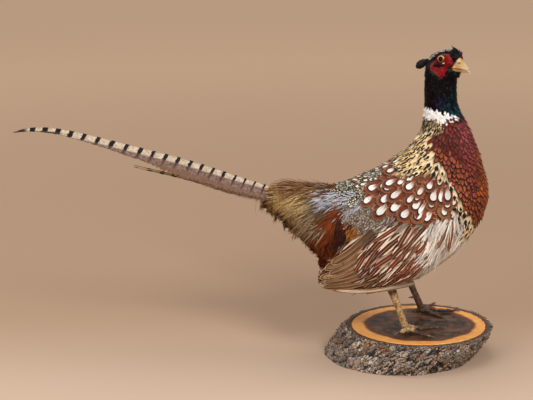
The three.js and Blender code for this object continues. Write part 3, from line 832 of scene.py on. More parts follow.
# The pale spots of the big shoulder feathers: x, z and size.
SPOTS = (
    (-80, 270, 0.8), (-71, 284, 0.86), (-59, 290, 0.82), (-42, 297, 0.84), (-40, 311, 0.72),
    (-57, 259, 1.08), (-51, 274, 0.92), (-46, 288, 0.78), (-35, 280, 1.06), (-28, 299, 0.74),
    (-33, 263, 1.12), (-24, 251, 0.95), (-16, 278, 0.74), (-15, 294, 0.86), (-12, 267, 0.98),
    (-6, 251, 1.1), (-13, 304, 0.62), (1, 289, 0.78), (-3, 280, 0.74), (4, 264, 1.0), (11, 295, 0.84),
    (16, 281, 1.05), (16, 267, 0.95), (18, 303, 0.74), (27, 283, 1.0), (32, 257, 0.98), (34, 269, 0.92),
    (31, 300, 0.72), (41, 284, 0.92), (47, 250, 0.88), (14, 250, 0.96), (46, 268, 0.8),
)

PRIMARY = Tract(
    "primaries", "flank_feathers", (), 0.0, 110.0, 10.0, 0.0, Cut.BLADE, Marking.EDGED,
    (Dye((0.21, 0.125, 0.06)), Dye((0.38, 0.27, 0.165), 0.8), Dye((0.115, 0.06, 0.03), 0.7),
     Dye((0.86, 0.75, 0.58), 12.0, (-70, 127), 12.0)),
    (Dye((0.78, 0.56, 0.31)),),
)

CHEEK_TRACT = Tract(
    "cheek", "dark_feathers", (), 0.0, 3.4, 1.3, 2.0, Cut.LEAF, Marking.PLAIN,
    (Dye((0.003, 0.003, 0.004)), Dye((0.012, 0.014, 0.018), 0.6)), rows=3, columns=2, metallic=0.4,
    roughness=0.4, turn=18.0, gloss=0.1,
)

STRANDS = {
    "flank": Tract(
        "flank_strands", "flank_feathers", ((-122, 60), (-122, 260), (200, 260), (200, 60)), 8.0, 32.0, 1.7,
        6.6, Cut.WISP, Marking.PLAIN,
        (Dye((0.9, 0.8, 0.66)), Dye((0.1, 0.018, 0.008), 1.3), Dye((0.46, 0.3, 0.16), 0.8),
         Dye((0.2, 0.055, 0.018), 0.9), Dye((0.34, 0.16, 0.06), 1.2, (-125, 155), 34.0)),
        rows=6, columns=1, turn=13.0, clump=9.0, stretch=1.5,
    ),
    "coverts": Tract(
        "covert_strands", "wing_feathers", EVERYWHERE, 4.2, 16.0, 1.6, 4.6, Cut.WISP, Marking.PLAIN,
        (Dye((0.46, 0.4, 0.34)), Dye((0.13, 0.085, 0.06), 1.0), Dye((0.3, 0.17, 0.1), 0.7)), rows=5,
        columns=1, turn=16.0, clump=8.0,
    ),
    "rump_tuft": Tract(
        "rump_plumes", "rump_feathers", EVERYWHERE, 5.0, 34.0, 3.0, 7.5, Cut.LEAF, Marking.PLAIN,
        (Dye((0.3, 0.13, 0.045)), Dye((0.62, 0.37, 0.13), 1.3, (-225, 280), 40.0),
         Dye((0.11, 0.045, 0.02), 0.8)),
        rows=6, columns=2, turn=14.0, clump=12.0,
    ),
}

TRACTS = FRONT_TRACTS + BACK_TRACTS

# The bare parts of the head in its own side view (x, z).
WATTLE = ((-10.8, -8), (-9.2, -2), (-6.5, 3.5), (-3, 9), (3, 11.4), (9, 12.0), (13, 12.2), (17, 11.4),
          (19.5, 8), (21.5, 2), (22.5, -3), (18, -6.5), (15.5, -9.4), (13.5, -13), (12.4, -17), (11.6, -21),
          (9.4, -24.5), (5.8, -21.9), (0, -18), (-6.6, -13))
CHEEK = ((-2.5, -2.6), (4, -2.9), (11.0, -4.4), (12.0, -6.4), (6, -8.4), (-1.5, -8.4))
BILL_SIDE = ((25, -8.4), (26.5, 3), (26.8, 6.5), (42, 9), (42, -20), (25, -17), (23, -12.4), (14, -11.4),
             (13, -9.6), (14, -7.8))

# The lie of the coat: a place in the side view (x, z) and the way feathers point there (x, z).
LIE = (
    ((35, 455), (0.0, -1.0)), ((35, 425), (0.0, -1.0)), ((8, 402), (-0.25, -0.97)),
    ((75, 395), (0.4, -0.92)), ((100, 345), (0.25, -0.97)), ((118, 285), (0.06, -1.0)),
    ((112, 235), (-0.35, -0.94)), ((60, 350), (0.05, -1.0)), ((60, 300), (-0.02, -1.0)),
    ((85, 205), (-0.62, -0.78)), ((10, 365), (-0.55, -0.84)), ((-5, 335), (-0.7, -0.71)),
    ((-35, 325), (-0.82, -0.57)), ((-75, 308), (-0.91, -0.42)), ((-120, 287), (-0.96, -0.28)),
    ((-90, 278), (-0.8, -0.6)), ((-30, 265), (-0.7, -0.71)), ((20, 255), (-0.5, -0.87)),
    ((-85, 240), (-0.78, -0.62)), ((-150, 265), (-0.8, -0.6)), ((-215, 283), (-1.0, 0.02)),
    ((-205, 262), (-0.8, -0.6)), ((-195, 230), (-0.66, -0.75)), ((-140, 205), (-0.42, -0.91)),
    ((-118, 215), (-0.4, -0.92)), ((-50, 195), (-0.68, -0.73)), ((-60, 140), (-0.8, -0.6)),
    ((-115, 150), (-0.86, -0.51)), ((40, 195), (-0.58, -0.81)), ((55, 160), (-0.8, -0.6)),
    ((0, 125), (-0.98, -0.18)), ((-40, 95), (-0.15, -1.0)), ((-20, 95), (0.1, -1.0)),
    ((-150, 130), (-0.99, -0.15)),
)
HEAD_LIE = (
    ((10, 0, 18), (-1, 0, 0.05)), ((-18, 0, 14), (-0.9, 0, -0.45)), ((-28, 0, -4), (-0.35, 0, -0.93)),
    ((24, 0, 14), (-0.8, 0, 0.5)), ((10, 16, 0), (-0.8, 0, -0.55)), ((10, -16, 0), (-0.8, 0, -0.55)),
    ((14, 0, -28), (-0.75, 0, -0.6)), ((-8, 17, -12), (-0.45, 0, -0.9)), ((-8, -17, -12), (-0.45, 0, -0.9)),
    ((-36, 17, -8), (-0.86, 0.1, -0.5)), ((-36, -17, -8), (-0.86, -0.1, -0.5)),
)


# ------------------------------------------------------------------ skin


@dataclass
class Skin:
    """The one skin that stands for all the flesh, under the feathers. Depths are in mm."""

    voxel: float = 2.2
    rounds: int = 8
    depth_thigh: float = 1.6
    depth_body: float = 4.4
    depth_neck: float = 2.6
    depth_head: float = 1.1
    depth_bill: float = 4.5
    tuft_swell: float = 2.2
    nodes: tuple[str, ...] = (
        "head", "neck", "collar", "breast", "trunk", "rump", "thigh_right", "thigh_left", "wing_right",
        "wing_left", "ear_tuft_right", "ear_tuft_left",
    )
    piece: Piece = None
    tree: BVHTree = None
    normals: Array = None

    def build(self) -> None:
        """Merges the flesh nodes, draws them in by the coat's depth and keeps a way to find the surface."""
        piece = Bench.copy_nodes("skin", self.nodes)
        Bench.melt(piece, self.voxel, self.rounds)
        self.draw_in(piece)
        Bench.smooth(piece)
        self.piece = piece
        self.tree = BVHTree.FromObject(piece, bpy.context.evaluated_depsgraph_get())
        self.read_normals()

    def draw_in(self, piece: Piece) -> None:
        """Moves the surface in by the coat's depth, which eases from the body to the head."""
        points = read_points(piece)
        local = HEAD.to_head(points)
        depths = (self.depth_thigh, *(self.depth_body,) * 2, *(self.depth_neck,) * 2, self.depth_head)
        depth = np.interp(points[:, 2], (80, 125, 370, 410, 455, 470), depths)
        bill = ease(local[:, 0], 19, 25) * ease(local[:, 2], -22, -14) * ease(local[:, 2], 9, 5)
        tuft = ease(local[:, 0], -29, -34) * ease(np.abs(local[:, 1]), 8, 11) * ease(local[:, 2], -26, -20)
        push(piece, -(depth + self.depth_bill * bill - self.tuft_swell * tuft))

    def read_normals(self) -> None:
        """Keeps the smooth normal of every face, as the mean of its corners'."""
        mesh = self.piece.data
        count = len(mesh.polygons)
        faces = np.repeat(np.arange(count), fetch(mesh.polygons, "loop_total"))
        sums = np.zeros((count, 3))
        np.add.at(sums, faces, read_normals(self.piece)[fetch(mesh.loops, "vertex_index")])
        self.normals = unit(sums)

    def nearest(self, points: Array) -> tuple[Array, Array]:
        """Finds the surface next to each point.

        Args:
            points: places in metres.

        Returns:
            The places on the surface and its normals there.
        """
        places = np.empty_like(points)
        normals = np.empty_like(points)
        for index, point in enumerate(points):
            found, _, face, _ = self.tree.find_nearest(point)
            places[index] = found
            normals[index] = self.normals[face]
        return places, normals

    def scatter(self, spacing: float, generator: np.random.Generator) -> tuple[Array, Array]:
        """Draws even random places all over the skin, about one to a square of the spacing.

        Args:
            spacing: the square's side, in metres.
            generator: the source of chance.

        Returns:
            The places and their normals.
        """
        mesh = self.piece.data
        mesh.calc_loop_triangles()
        owners = fetch(mesh.loop_triangles, "polygon_index")
        triangle = fetch_triples(mesh.vertices, "co")[fetch_triples(mesh.loop_triangles, "vertices", int)]
        sides = triangle[:, 1:] - triangle[:, :1]
        areas = np.linalg.norm(np.cross(sides[:, 0], sides[:, 1]), axis=1) / 2
        count = int(areas.sum() / spacing ** 2)
        chosen = generator.choice(len(areas), count, p=areas / areas.sum())
        u, v = generator.random((2, count, 1))
        u, v = np.where(u + v > 1, 1 - u, u), np.where(u + v > 1, 1 - v, v)
        a, b, c = triangle[chosen, 0], triangle[chosen, 1], triangle[chosen, 2]
        return a + (b - a) * u + (c - a) * v, self.normals[owners[chosen]]

    def dress(self, coat: "Coat") -> None:
        """Colours the skin as the coat over it is, darkened as painted shade between the feathers, and puts
        it in its place.

        Args:
            coat: the coat, which knows each tract's place and dyes.
        """
        mesh = self.piece.data
        places = fetch_triples(mesh.vertices, "co")
        which = coat.sort(places, read_normals(self.piece), np.zeros((len(places), 2)))
        colours = np.zeros((len(places), 4))
        for index, tract in enumerate(TRACTS):
            here = which == index
            ground = coat.blend(tract.ground, places[here], np.ones((here.sum(), len(tract.ground))), False)
            # painted shade: the coat's colour at a little over half its brightness
            colours[here, :3] = ground * 0.55
        layer = mesh.color_attributes.new(Coat.GROUND, "FLOAT_COLOR", "POINT")
        layer.data.foreach_set("color", colours.ravel())
        graph = Graph("skin_down_and_painted_shade", 0.8)
        tint = graph.read(Coat.GROUND, "Color")
        down = graph.noise(900.0, 2.0, stretch=(0.4, 1.0, 0.6))
        # painted shade: the tint is mixed more than half way towards near black
        dark = graph.mix(0.55, tint, (0.02, 0.015, 0.01))
        graph.colour(graph.mix(down, dark, tint))
        graph.bump(down, 0.4 * MM)
        Bench.finish(self.piece, "mantle_feathers", graph.material, *self.nodes)


# ------------------------------------------------------------------ coat


@dataclass
class Roots:
    """Where the feathers of one tract stand, the way they lie and their shares of the usual size."""

    places: Array
    normals: Array
    lie: Array
    size: Array
    shade: Array
    rise: Array

    @classmethod
    def plain(cls, places: Array, normals: Array, lie: Array) -> "Roots":
        """Makes roots for feathers of the usual size, shade and height."""
        return cls(places, normals, lie, *(np.ones(len(places)) for _ in range(3)))


@dataclass
class Coat:
    """All the modelled feathers, one joined mesh for each tract."""

    VANE_MAP = "Vane"
    BAKE_MAP = "OFBake"
    GROUND = "Ground"
    MARK = "Mark"

    skin: Skin
    steps: int = 4
    seed: int = 11
    patch: float = 0.003
    patch_limit: float = 0.01
    shows: float = 0.62
    grades: tuple[float, ...] = (0.0, 2.3, 3.6, 99.0)
    head_above: float = 461.0
    tuft_start: Point = (-22.0, 9.0, -24.0)
    under_below: float = 190.0
    under_slope: float = -0.55
    rear_start: tuple[float, float] = (-95.0, 170.0)
    mantle_above: float = 300.0
    axis: Line = (
        (60, 492), (36, 455), (38, 410), (58, 350), (58, 290), (10, 232), (-60, 215), (-120, 222),
        (-180, 240), (-245, 266),
    )
    generator: np.random.Generator = field(init=False)
    grown: int = field(init=False, default=0)

    def __post_init__(self) -> None:
        """Seeds the source of chance."""
        self.generator = np.random.default_rng(self.seed)

    def reseed(self) -> None:
        """Gives the next tract its own source of chance, so that no tract depends on another's number."""
        self.grown += 1
        self.generator = np.random.default_rng((self.seed, self.grown))

    def sort(self, places: Array, normals: Array, shift: Array) -> Array:
        """Finds the tract that each place belongs to, with soft borders.

        Args:
            places: places on the skin, in metres.
            normals: the skin's normals there.
            shift: a random share by which each place may stray over a border.

        Returns:
            The tract's number for each place.
        """
        soft = np.array([tract.soft for tract in TRACTS])
        first = self.find(places, normals, np.zeros_like(shift))
        return self.find(places, normals, shift * soft[first][:, None])

    def find(self, places: Array, normals: Array, offset: Array) -> Array:
        """Finds the tract whose outline holds each place, moved by an offset of x and z in mm."""
        mm = places / MM
        local = HEAD.to_head(mm)
        x, y, z = self.tuft_start
        tuft = (local[:, 0] < x) & (np.abs(local[:, 1]) > y) & (local[:, 2] > z)
        head = (mm[:, 2] > self.head_above) | tuft
        which = np.full(len(mm), -1)
        for index, tract in enumerate(TRACTS):
            x, z = (local[:, 0], local[:, 2]) if tract.on_head else (mm[:, 0], mm[:, 2])
            here = inside(tract.outline, x + offset[:, 0], z + offset[:, 1])
            here &= head if tract.on_head else ~head
            if tract.name == "tuft":
                here &= tuft
            if tract.below:
                here &= (normals[:, 2] < self.under_slope) & (mm[:, 2] < self.under_below)
            which[here & (which < 0)] = index
        names = [tract.name for tract in TRACTS]
        rear = (mm[:, 0] < self.rear_start[0]) & (mm[:, 2] > self.rear_start[1])
        lost = np.where(rear, names.index("rump_rust"), len(TRACTS) - 1)
        lost = np.where(mm[:, 2] > self.mantle_above, names.index("mantle"), lost)
        return np.where(which < 0, lost, which)

    @staticmethod
    def bare(places: Array) -> Array:
        """Finds the places where the head has bare skin or horn, so that no feather grows there."""
        local = HEAD.to_head(places / MM)
        aside = np.abs(local[:, 1])
        skin = inside(WATTLE, local[:, 0], local[:, 2]) & (aside > 6)
        return skin | (inside(BILL_SIDE, local[:, 0], local[:, 2]) & (aside > 2.5))

    def lie_at(self, places: Array, normals: Array) -> Array:
        """Finds the way feathers lie.

        Args:
            places: places on the skin, in metres.
            normals: the skin's normals there.

        Returns:
            The directions along the skin.
        """
        mm = places / MM
        sites = np.array([place for place, _ in LIE], float)
        ways = unit(np.array([(x, 0.0, z) for _, (x, z) in LIE]))
        lie = self.nearby(mm[:, None, (0, 2)] - sites[None], ways)
        head_sites = HEAD.to_frame([place for place, _ in HEAD_LIE])
        head_ways = unit(np.array([way for _, way in HEAD_LIE], float) @ HEAD.axes())
        head_lie = self.nearby(mm[:, None] - head_sites[None], head_ways)
        share = np.clip((mm[:, 2] - 452) / 16, 0, 1)[:, None]
        return flush(lie * (1 - share) + head_lie * share, normals)

    @staticmethod
    def nearby(gaps: Array, ways: Array) -> Array:
        """Returns a mean of ways in which the nearest count most.

        Args:
            gaps: from each place to each way's own place, in mm.
            ways: the ways.

        Returns:
            The mean way for each place.
        """
        weights = ((gaps ** 2).sum(2) + 9.0) ** -2.0
        return (weights[:, :, None] * ways[None]).sum(1) / weights.sum(1)[:, None]

    def blend(self, dyes: Sequence[Dye], places: Array, chance: Array, pick: bool) -> Array:
        """Mixes or picks a colour for each feather.

        Args:
            dyes: the tract's colours.
            places: the feathers' places, in metres.
            chance: a random number for each feather and dye.
            pick: True to take one dye, not a mixture.

        Returns:
            The colours.
        """
        mm = places / MM
        weights = np.empty((len(mm), len(dyes)))
        for index, dye in enumerate(dyes):
            weights[:, index] = dye.share
            if dye.centre:
                gap = (mm[:, 0] - dye.centre[0]) ** 2 + (mm[:, 2] - dye.centre[1]) ** 2
                weights[:, index] *= np.exp(-gap / dye.reach ** 2)
        weights = weights * chance + 1e-9
        if pick:
            weights = weights ** 6
        weights /= weights.sum(1)[:, None]
        return weights @ np.array([dye.colour for dye in dyes])

    @staticmethod
    def thin(places: Array, spacing: Array, lie: Array, stretch: Array) -> Array:
        """Keeps only places that stand clear of each other.

        Args:
            places: candidate places, in metres.
            spacing: how far apart they stay, in metres.
            lie: the way feathers lie there.
            stretch: how much farther apart they stay along the lie.

        Returns:
            The numbers of those kept.
        """
        cell = float((spacing * stretch).max())
        grid: dict[tuple[int, int, int], list[int]] = {}
        keys = np.floor(places / cell).astype(int)
        less = 1 - stretch ** -2.0
        kept = []
        around = [(i, j, k) for i in (-1, 0, 1) for j in (-1, 0, 1) for k in (-1, 0, 1)]
        for index, (key, place) in enumerate(zip(keys.tolist(), places)):
            near = [n for i, j, k in around for n in grid.get((key[0] + i, key[1] + j, key[2] + k), ())]
            if near:
                gaps = places[near] - place
                squares = (gaps * gaps).sum(1) - less[index] * (gaps @ lie[index]) ** 2
                if (squares < (0.5 * (spacing[near] + spacing[index])) ** 2).any():
                    continue
            grid.setdefault(tuple(key), []).append(index)
            kept.append(index)
        return np.array(kept, int)

    def build(self) -> None:
        """Grows every tract."""
        groups = [[index for index, tract in enumerate(TRACTS) if low <= tract.spacing < high]
                  for low, high in zip(self.grades, self.grades[1:])]
        spacings = np.array([t.spacing for t in TRACTS]) * MM
        lengths = np.array([t.length for t in TRACTS]) * MM
        stretches = np.array([t.stretch for t in TRACTS])
        for group in groups:
            finest = min(spacings[i] for i in group)
            self.reseed()
            places, normals = self.skin.scatter(finest * 0.42, self.generator)
            shift = self.generator.normal(size=(len(places), 2))
            which = self.sort(places, normals, shift)
            lie = self.lie_at(places, normals)
            shown = places + lie * (lengths[which] * self.shows)[:, None]
            which = self.sort(shown, normals, shift)
            middles = places + lie * lengths[which][:, None] / 2
            wanted = np.isin(which, group) & ~self.bare(places) & ~self.bare(middles)
            places, normals, which, lie = (row[wanted] for row in (places, normals, which, lie))
            self.grow_strands(places, normals, lie, which)
            kept = self.thin(places, spacings[which], lie, stretches[which])
            places, normals, which, lie = (row[kept] for row in (places, normals, which, lie))
            for index in group:
                here = which == index
                self.grow(TRACTS[index], Roots.plain(places[here], normals[here], lie[here]))
        self.grow(SCAPULAR, self.scapular_roots())
        self.grow_primaries()

    def grow_strands(self, places: Array, normals: Array, lie: Array, which: Array) -> None:
        """Grows a few longer, loose feathers over some tracts.

        Args:
            places: candidate places on the skin, in metres.
            normals: the skin's normals there.
            lie: the way feathers lie there.
            which: the tract's number for each place.
        """
        for index in np.unique(which):
            tract = STRANDS.get(TRACTS[index].name)
            if tract is None:
                continue
            within = inside(tract.outline, places[:, 0] / MM, places[:, 2] / MM)
            here = np.flatnonzero((which == index) & within)
            flat = np.ones(len(here))
            kept = here[self.thin(places[here], flat * tract.spacing * MM, lie[here], flat * tract.stretch)]
            self.grow(tract, Roots.plain(places[kept], normals[kept], lie[kept]))

    def scapular_roots(self) -> Roots:
        """Sets the big shoulder feathers over both wings, so that each pale spot comes in its place.

        Returns:
            Their roots.
        """
        self.reseed()
        places, sizes = [], []
        for side in SIDES.values():
            for x, z, size in SPOTS:
                stray = self.generator.normal(0, 0.8, 2)
                found = self.skin.tree.ray_cast(
                    Vector(((x + stray[0]) * MM, side * 0.2, (z + stray[1]) * MM)), Vector((0, -side, 0)))
                places.append(found[0])
                sizes.append(size * self.generator.uniform(0.96, 1.04))
        places, normals = self.skin.nearest(np.array(places))
        back = self.lie_at(places, normals) * np.array(sizes)[:, None] * SCAPULAR.length * MM * 0.6
        places, normals = self.skin.nearest(places - back)
        roots = Roots.plain(places, normals, self.lie_at(places, normals))
        roots.size = np.array(sizes)
        return roots

    def grow_primaries(self) -> None:
        """Lays the long wing feathers whose ends show behind and along the lower edge of each wing."""
        ends = (
            ((-72, 224), (-136, 170), 14.0), ((-78, 212), (-146, 159), 14.0),
            ((-72, 200), (-139, 152), 14.0), ((-72, 184), (-154, 143), 14.0),
            ((-66, 170), (-147, 136), 13.0), ((-54, 152), (-150, 128), 11.0), ((-4, 138), (-136, 124), 7.0),
        )
        rows, columns = 26, 5
        along = np.linspace(0, 1, rows)
        cross = np.linspace(-1, 1, columns)
        points, roots, normals = [], [], []
        for side in SIDES.values():
            for number, ((x0, z0), (x1, z1), width) in enumerate(ends if side < 0 else ends[:-1]):
                x = x0 + (x1 - x0) * along
                z = z0 + (z1 - z0) * along - 5.0 * np.sin(along * math.pi)
                flat, _ = self.skin.nearest(np.stack((x, np.full(rows, side * 95.0), z), 1) * MM)
                spine = np.stack((x, flat[:, 1] / MM, z), 1)
                spine[:, 1] = calm(spine[:, 1]) + side * (0.5 + (5.6 - 0.5 * number) * ease(along, 0.2, 0.75))
                half = np.interp(along, (0, 0.7, 0.9, 0.97, 1.0), (1.0, 1.0, 0.86, 0.5, 0.12)) * width / 2
                ahead = unit(np.gradient(spine, axis=0))
                out = np.tile((0.0, float(side), 0.0), (rows, 1))
                across = unit(np.cross(out, ahead)) * side
                bend = np.abs(cross)[None, :, None] ** 2 * 0.5
                reach = across[:, None] * (half[:, None] * cross)[..., None]
                sheet = spine[:, None] + reach - out[:, None] * bend
                points.append(sheet * MM)
                roots.append(spine[rows // 2] * MM)
                normals.append(out[0])
        vane = np.stack(np.broadcast_arrays((0.5 + 0.5 * cross)[None, None], along[None, :, None]), -1)
        vane = np.broadcast_to(vane, (len(points), rows, columns, 2))
        ahead = np.tile((-1.0, 0.0, 0.0), (len(roots), 1))
        self.make(PRIMARY, Roots.plain(np.array(roots), np.array(normals), ahead), np.array(points), vane)

    def gather(self, tract: Tract, roots: Roots) -> None:
        """Draws the loose feathers of a tract together into tufts, lighter and darker, higher and lower."""
        count = len(roots.places)
        flat = np.ones(count)
        seeds = self.thin(roots.places, flat * tract.clump * MM, roots.lie, flat * 1.5)
        tree = find_tree(roots.places[seeds])
        near = np.array([tree.find(place)[1] for place in roots.places])
        aim = roots.places[seeds[near]] + roots.lie * tract.length * MM * 1.25 - roots.places
        aim = flush(aim, roots.normals)
        roots.lie = unit(roots.lie * 0.45 + aim * 0.55)
        roots.shade = self.generator.uniform(0.7, 1.22, len(seeds))[near]
        roots.rise = self.generator.uniform(0.55, 1.35, len(seeds))[near]
        turn = np.radians(self.generator.normal(0, 9, len(seeds)))[near][:, None]
        roots.lie = unit(roots.lie * np.cos(turn) + np.cross(roots.normals, roots.lie) * np.sin(turn))

    def grow(self, tract: Tract, roots: Roots) -> None:
        """Makes one tract's feathers as one mesh.

        Args:
            tract: what kind of feather it has.
            roots: where they stand.
        """
        self.reseed()
        count = len(roots.places)
        if not count:
            return
        if tract.clump:
            self.gather(tract, roots)
        chance = self.generator
        length = tract.length * MM * roots.size * chance.uniform(0.82, 1.15, count)
        width = tract.width * MM * roots.size * chance.uniform(0.88, 1.12, count)
        lift = tract.lift * MM * roots.rise * chance.uniform(0.6, 1.15, count)
        loose = chance.random(count) < tract.stray
        length, lift = length * np.where(loose, 1.3, 1.0), lift * np.where(loose, 1.9, 1.0)
        turn = np.radians(chance.normal(0, tract.turn, count))[:, None]
        aside = np.cross(roots.normals, roots.lie)
        lie = unit(roots.lie * np.cos(turn) + aside * np.sin(turn))
        path, ups = self.follow(roots, lie, length)
        along = np.linspace(0, 1, tract.rows + 1)
        spine, up = self.resample(path, along), unit(self.resample(ups, along))
        ahead = unit(np.gradient(spine, axis=1))
        side = unit(np.cross(up, ahead))
        shares, halves = zip(*tract.cut.value)
        half = np.interp(along, shares, halves)[None] * np.ones((count, 1))
        half *= 1 + chance.normal(0, 0.05, half.shape)
        cross = np.linspace(-1, 1, tract.columns + 1)
        rise = (lift[:, None] * along[None] ** 0.85 - 0.5 * MM)[:, :, None]
        rise = rise + (0.25 * lift * chance.normal(0, 1, count))[:, None, None] * along[None, :, None] ** 2
        drop = (tract.camber * width)[:, None, None] * (half[:, :, None] * cross[None, None]) ** 2
        tilt = np.radians(chance.normal(0, 5, count))[:, None, None]
        reach = half[:, :, None] * cross[None, None] * width[:, None, None] / 2
        points = (spine[:, :, None] + up[:, :, None] * (rise - drop + reach * np.sin(tilt))[..., None]
                  + side[:, :, None] * (reach * np.cos(tilt))[..., None])
        share = 0.5 + 0.5 * half[:, :, None] * cross
        vane = np.stack(np.broadcast_arrays(share, along[None, :, None]), axis=-1)
        self.make(tract, roots, points, vane)

    def follow(self, roots: Roots, lie: Array, length: Array) -> tuple[Array, Array]:
        """Leads feathers along the skin.

        Args:
            roots: where they stand.
            lie: the way each one starts.
            length: how long each one is.

        Returns:
            The points along each and the skin's normals there.
        """
        path, ups = [roots.places], [roots.normals]
        place, normal, way = roots.places, roots.normals, lie
        stride = (length / self.steps)[:, None]
        for _ in range(self.steps):
            found, found_normal = self.skin.nearest(place + way * stride)
            straight = place + way * stride
            gap = ((found - straight) * normal).sum(1)
            sink = np.clip(gap, -0.25 * stride[:, 0], 0.4 * stride[:, 0])[:, None]
            place = np.where(gap[:, None] < -0.25 * stride, straight + normal * sink, found)
            normal = unit(0.5 * normal + 0.5 * found_normal)
            way = flush(way, normal)
            path.append(place)
            ups.append(normal)
        return np.stack(path, 1), np.stack(ups, 1)

    @staticmethod
    def resample(path: Array, along: Array) -> Array:
        """Returns points at shares of each path."""
        position = along * (path.shape[1] - 1)
        low = np.minimum(position.astype(int), path.shape[1] - 2)
        part = (position - low)[None, :, None]
        return path[:, low] * (1 - part) + path[:, low + 1] * part

    def make(self, tract: Tract, roots: Roots, points: Array, vane: Array) -> None:
        """Joins feathers into one mesh with its maps and dyes.

        Args:
            tract: what kind of feather it has.
            roots: where they stand.
            points: a grid of points for each feather.
            vane: each point's place on its own feather.
        """
        count, rows, columns = points.shape[:3]
        each = rows * columns
        index = np.arange(each).reshape(rows, columns)
        faces = np.stack((index[:-1, :-1], index[:-1, 1:], index[1:, 1:], index[1:, :-1]), -1).reshape(-1, 4)
        normal = np.cross(points[0, 1, 0] - points[0, 0, 0], points[0, 0, -1] - points[0, 0, 0])
        if normal @ roots.normals[0] > 0:
            faces = faces[:, ::-1]
        quads = (np.arange(count)[:, None, None] * each + faces[None]).reshape(-1, 4)
        mesh = bpy.data.meshes.new(tract.name)
        mesh.vertices.add(count * each)
        mesh.vertices.foreach_set("co", points.ravel())
        mesh.loops.add(quads.size)
        mesh.loops.foreach_set("vertex_index", quads.ravel())
        mesh.polygons.add(len(quads))
        mesh.polygons.foreach_set("loop_start", np.arange(0, quads.size, 4))
        mesh.update(calc_edges=True)
        corner = quads.ravel()
        uv = mesh.uv_layers.new(name=self.VANE_MAP)
        uv.uv.foreach_set("vector", vane.reshape(-1, 2)[corner].ravel())
        bake = mesh.uv_layers.new(name=self.BAKE_MAP)
        flat = self.bake_places(roots)[:, None, None] + (vane - 0.5) * self.patch_size(roots)
        bake.uv.foreach_set("vector", flat.reshape(-1, 2)[corner].ravel())
        for name, dyes in ((self.GROUND, tract.ground), (self.MARK, tract.mark)):
            chance = self.generator.uniform(0.3, 1.0, (count, len(dyes)))
            tint = self.blend(dyes, roots.places, chance, tract.pick)
            tint = tint * self.generator.uniform(0.84, 1.14, (count, 1)) * roots.shade[:, None]
            dyed = np.concatenate((tint, self.generator.random((count, 1))), 1)
            layer = mesh.color_attributes.new(name, "FLOAT_COLOR", "POINT")
            layer.data.foreach_set("color", np.repeat(dyed, each, 0).ravel())
        piece = Bench.link("coat_" + tract.name, mesh)
        Bench.finish(piece, tract.slot, Plume(tract).material())

    def unwrapped(self, places: Array) -> Array:
        """Finds places on a flat unwrap of the skin: round the body and along it."""
        axis = np.array(self.axis, float)
        runs = np.diff(axis, axis=0)
        lengths = np.linalg.norm(runs, axis=1)
        starts = np.concatenate(((0.0,), np.cumsum(lengths)[:-1]))
        mm = places / MM
        flat = mm[:, (0, 2)]
        offset = flat[:, None] - axis[None, :-1]
        share = np.clip((offset * runs[None]).sum(2) / (lengths ** 2)[None], 0, 1)
        gaps = np.linalg.norm(offset - share[:, :, None] * runs[None], axis=2)
        best = gaps.argmin(1)
        pick = np.arange(len(mm))
        along = starts[best] + share[pick, best] * lengths[best]
        ahead = runs[best] / lengths[best][:, None]
        away = offset[pick, best] - share[pick, best][:, None] * runs[best]
        out = away[:, 1] * ahead[:, 0] - away[:, 0] * ahead[:, 1]
        around = np.arctan2(mm[:, 1], -out)
        return np.stack((around / (2 * math.pi) + 0.5, along / lengths.sum()), 1)

    def bake_places(self, roots: Roots) -> Array:
        """Finds each feather's patch on the bake map, which the tract fills."""
        flat = self.unwrapped(roots.places)
        low, high = flat.min(0), flat.max(0)
        return 0.02 + 0.96 * (flat - low) / np.maximum(high - low, 1e-6)

    def patch_size(self, roots: Roots) -> float:
        """Returns how large each feather's patch is, by how many share the map."""
        return float(np.clip(0.25 / math.sqrt(len(roots.places)), self.patch, self.patch_limit))


# ------------------------------------------------------------------ feather finishes


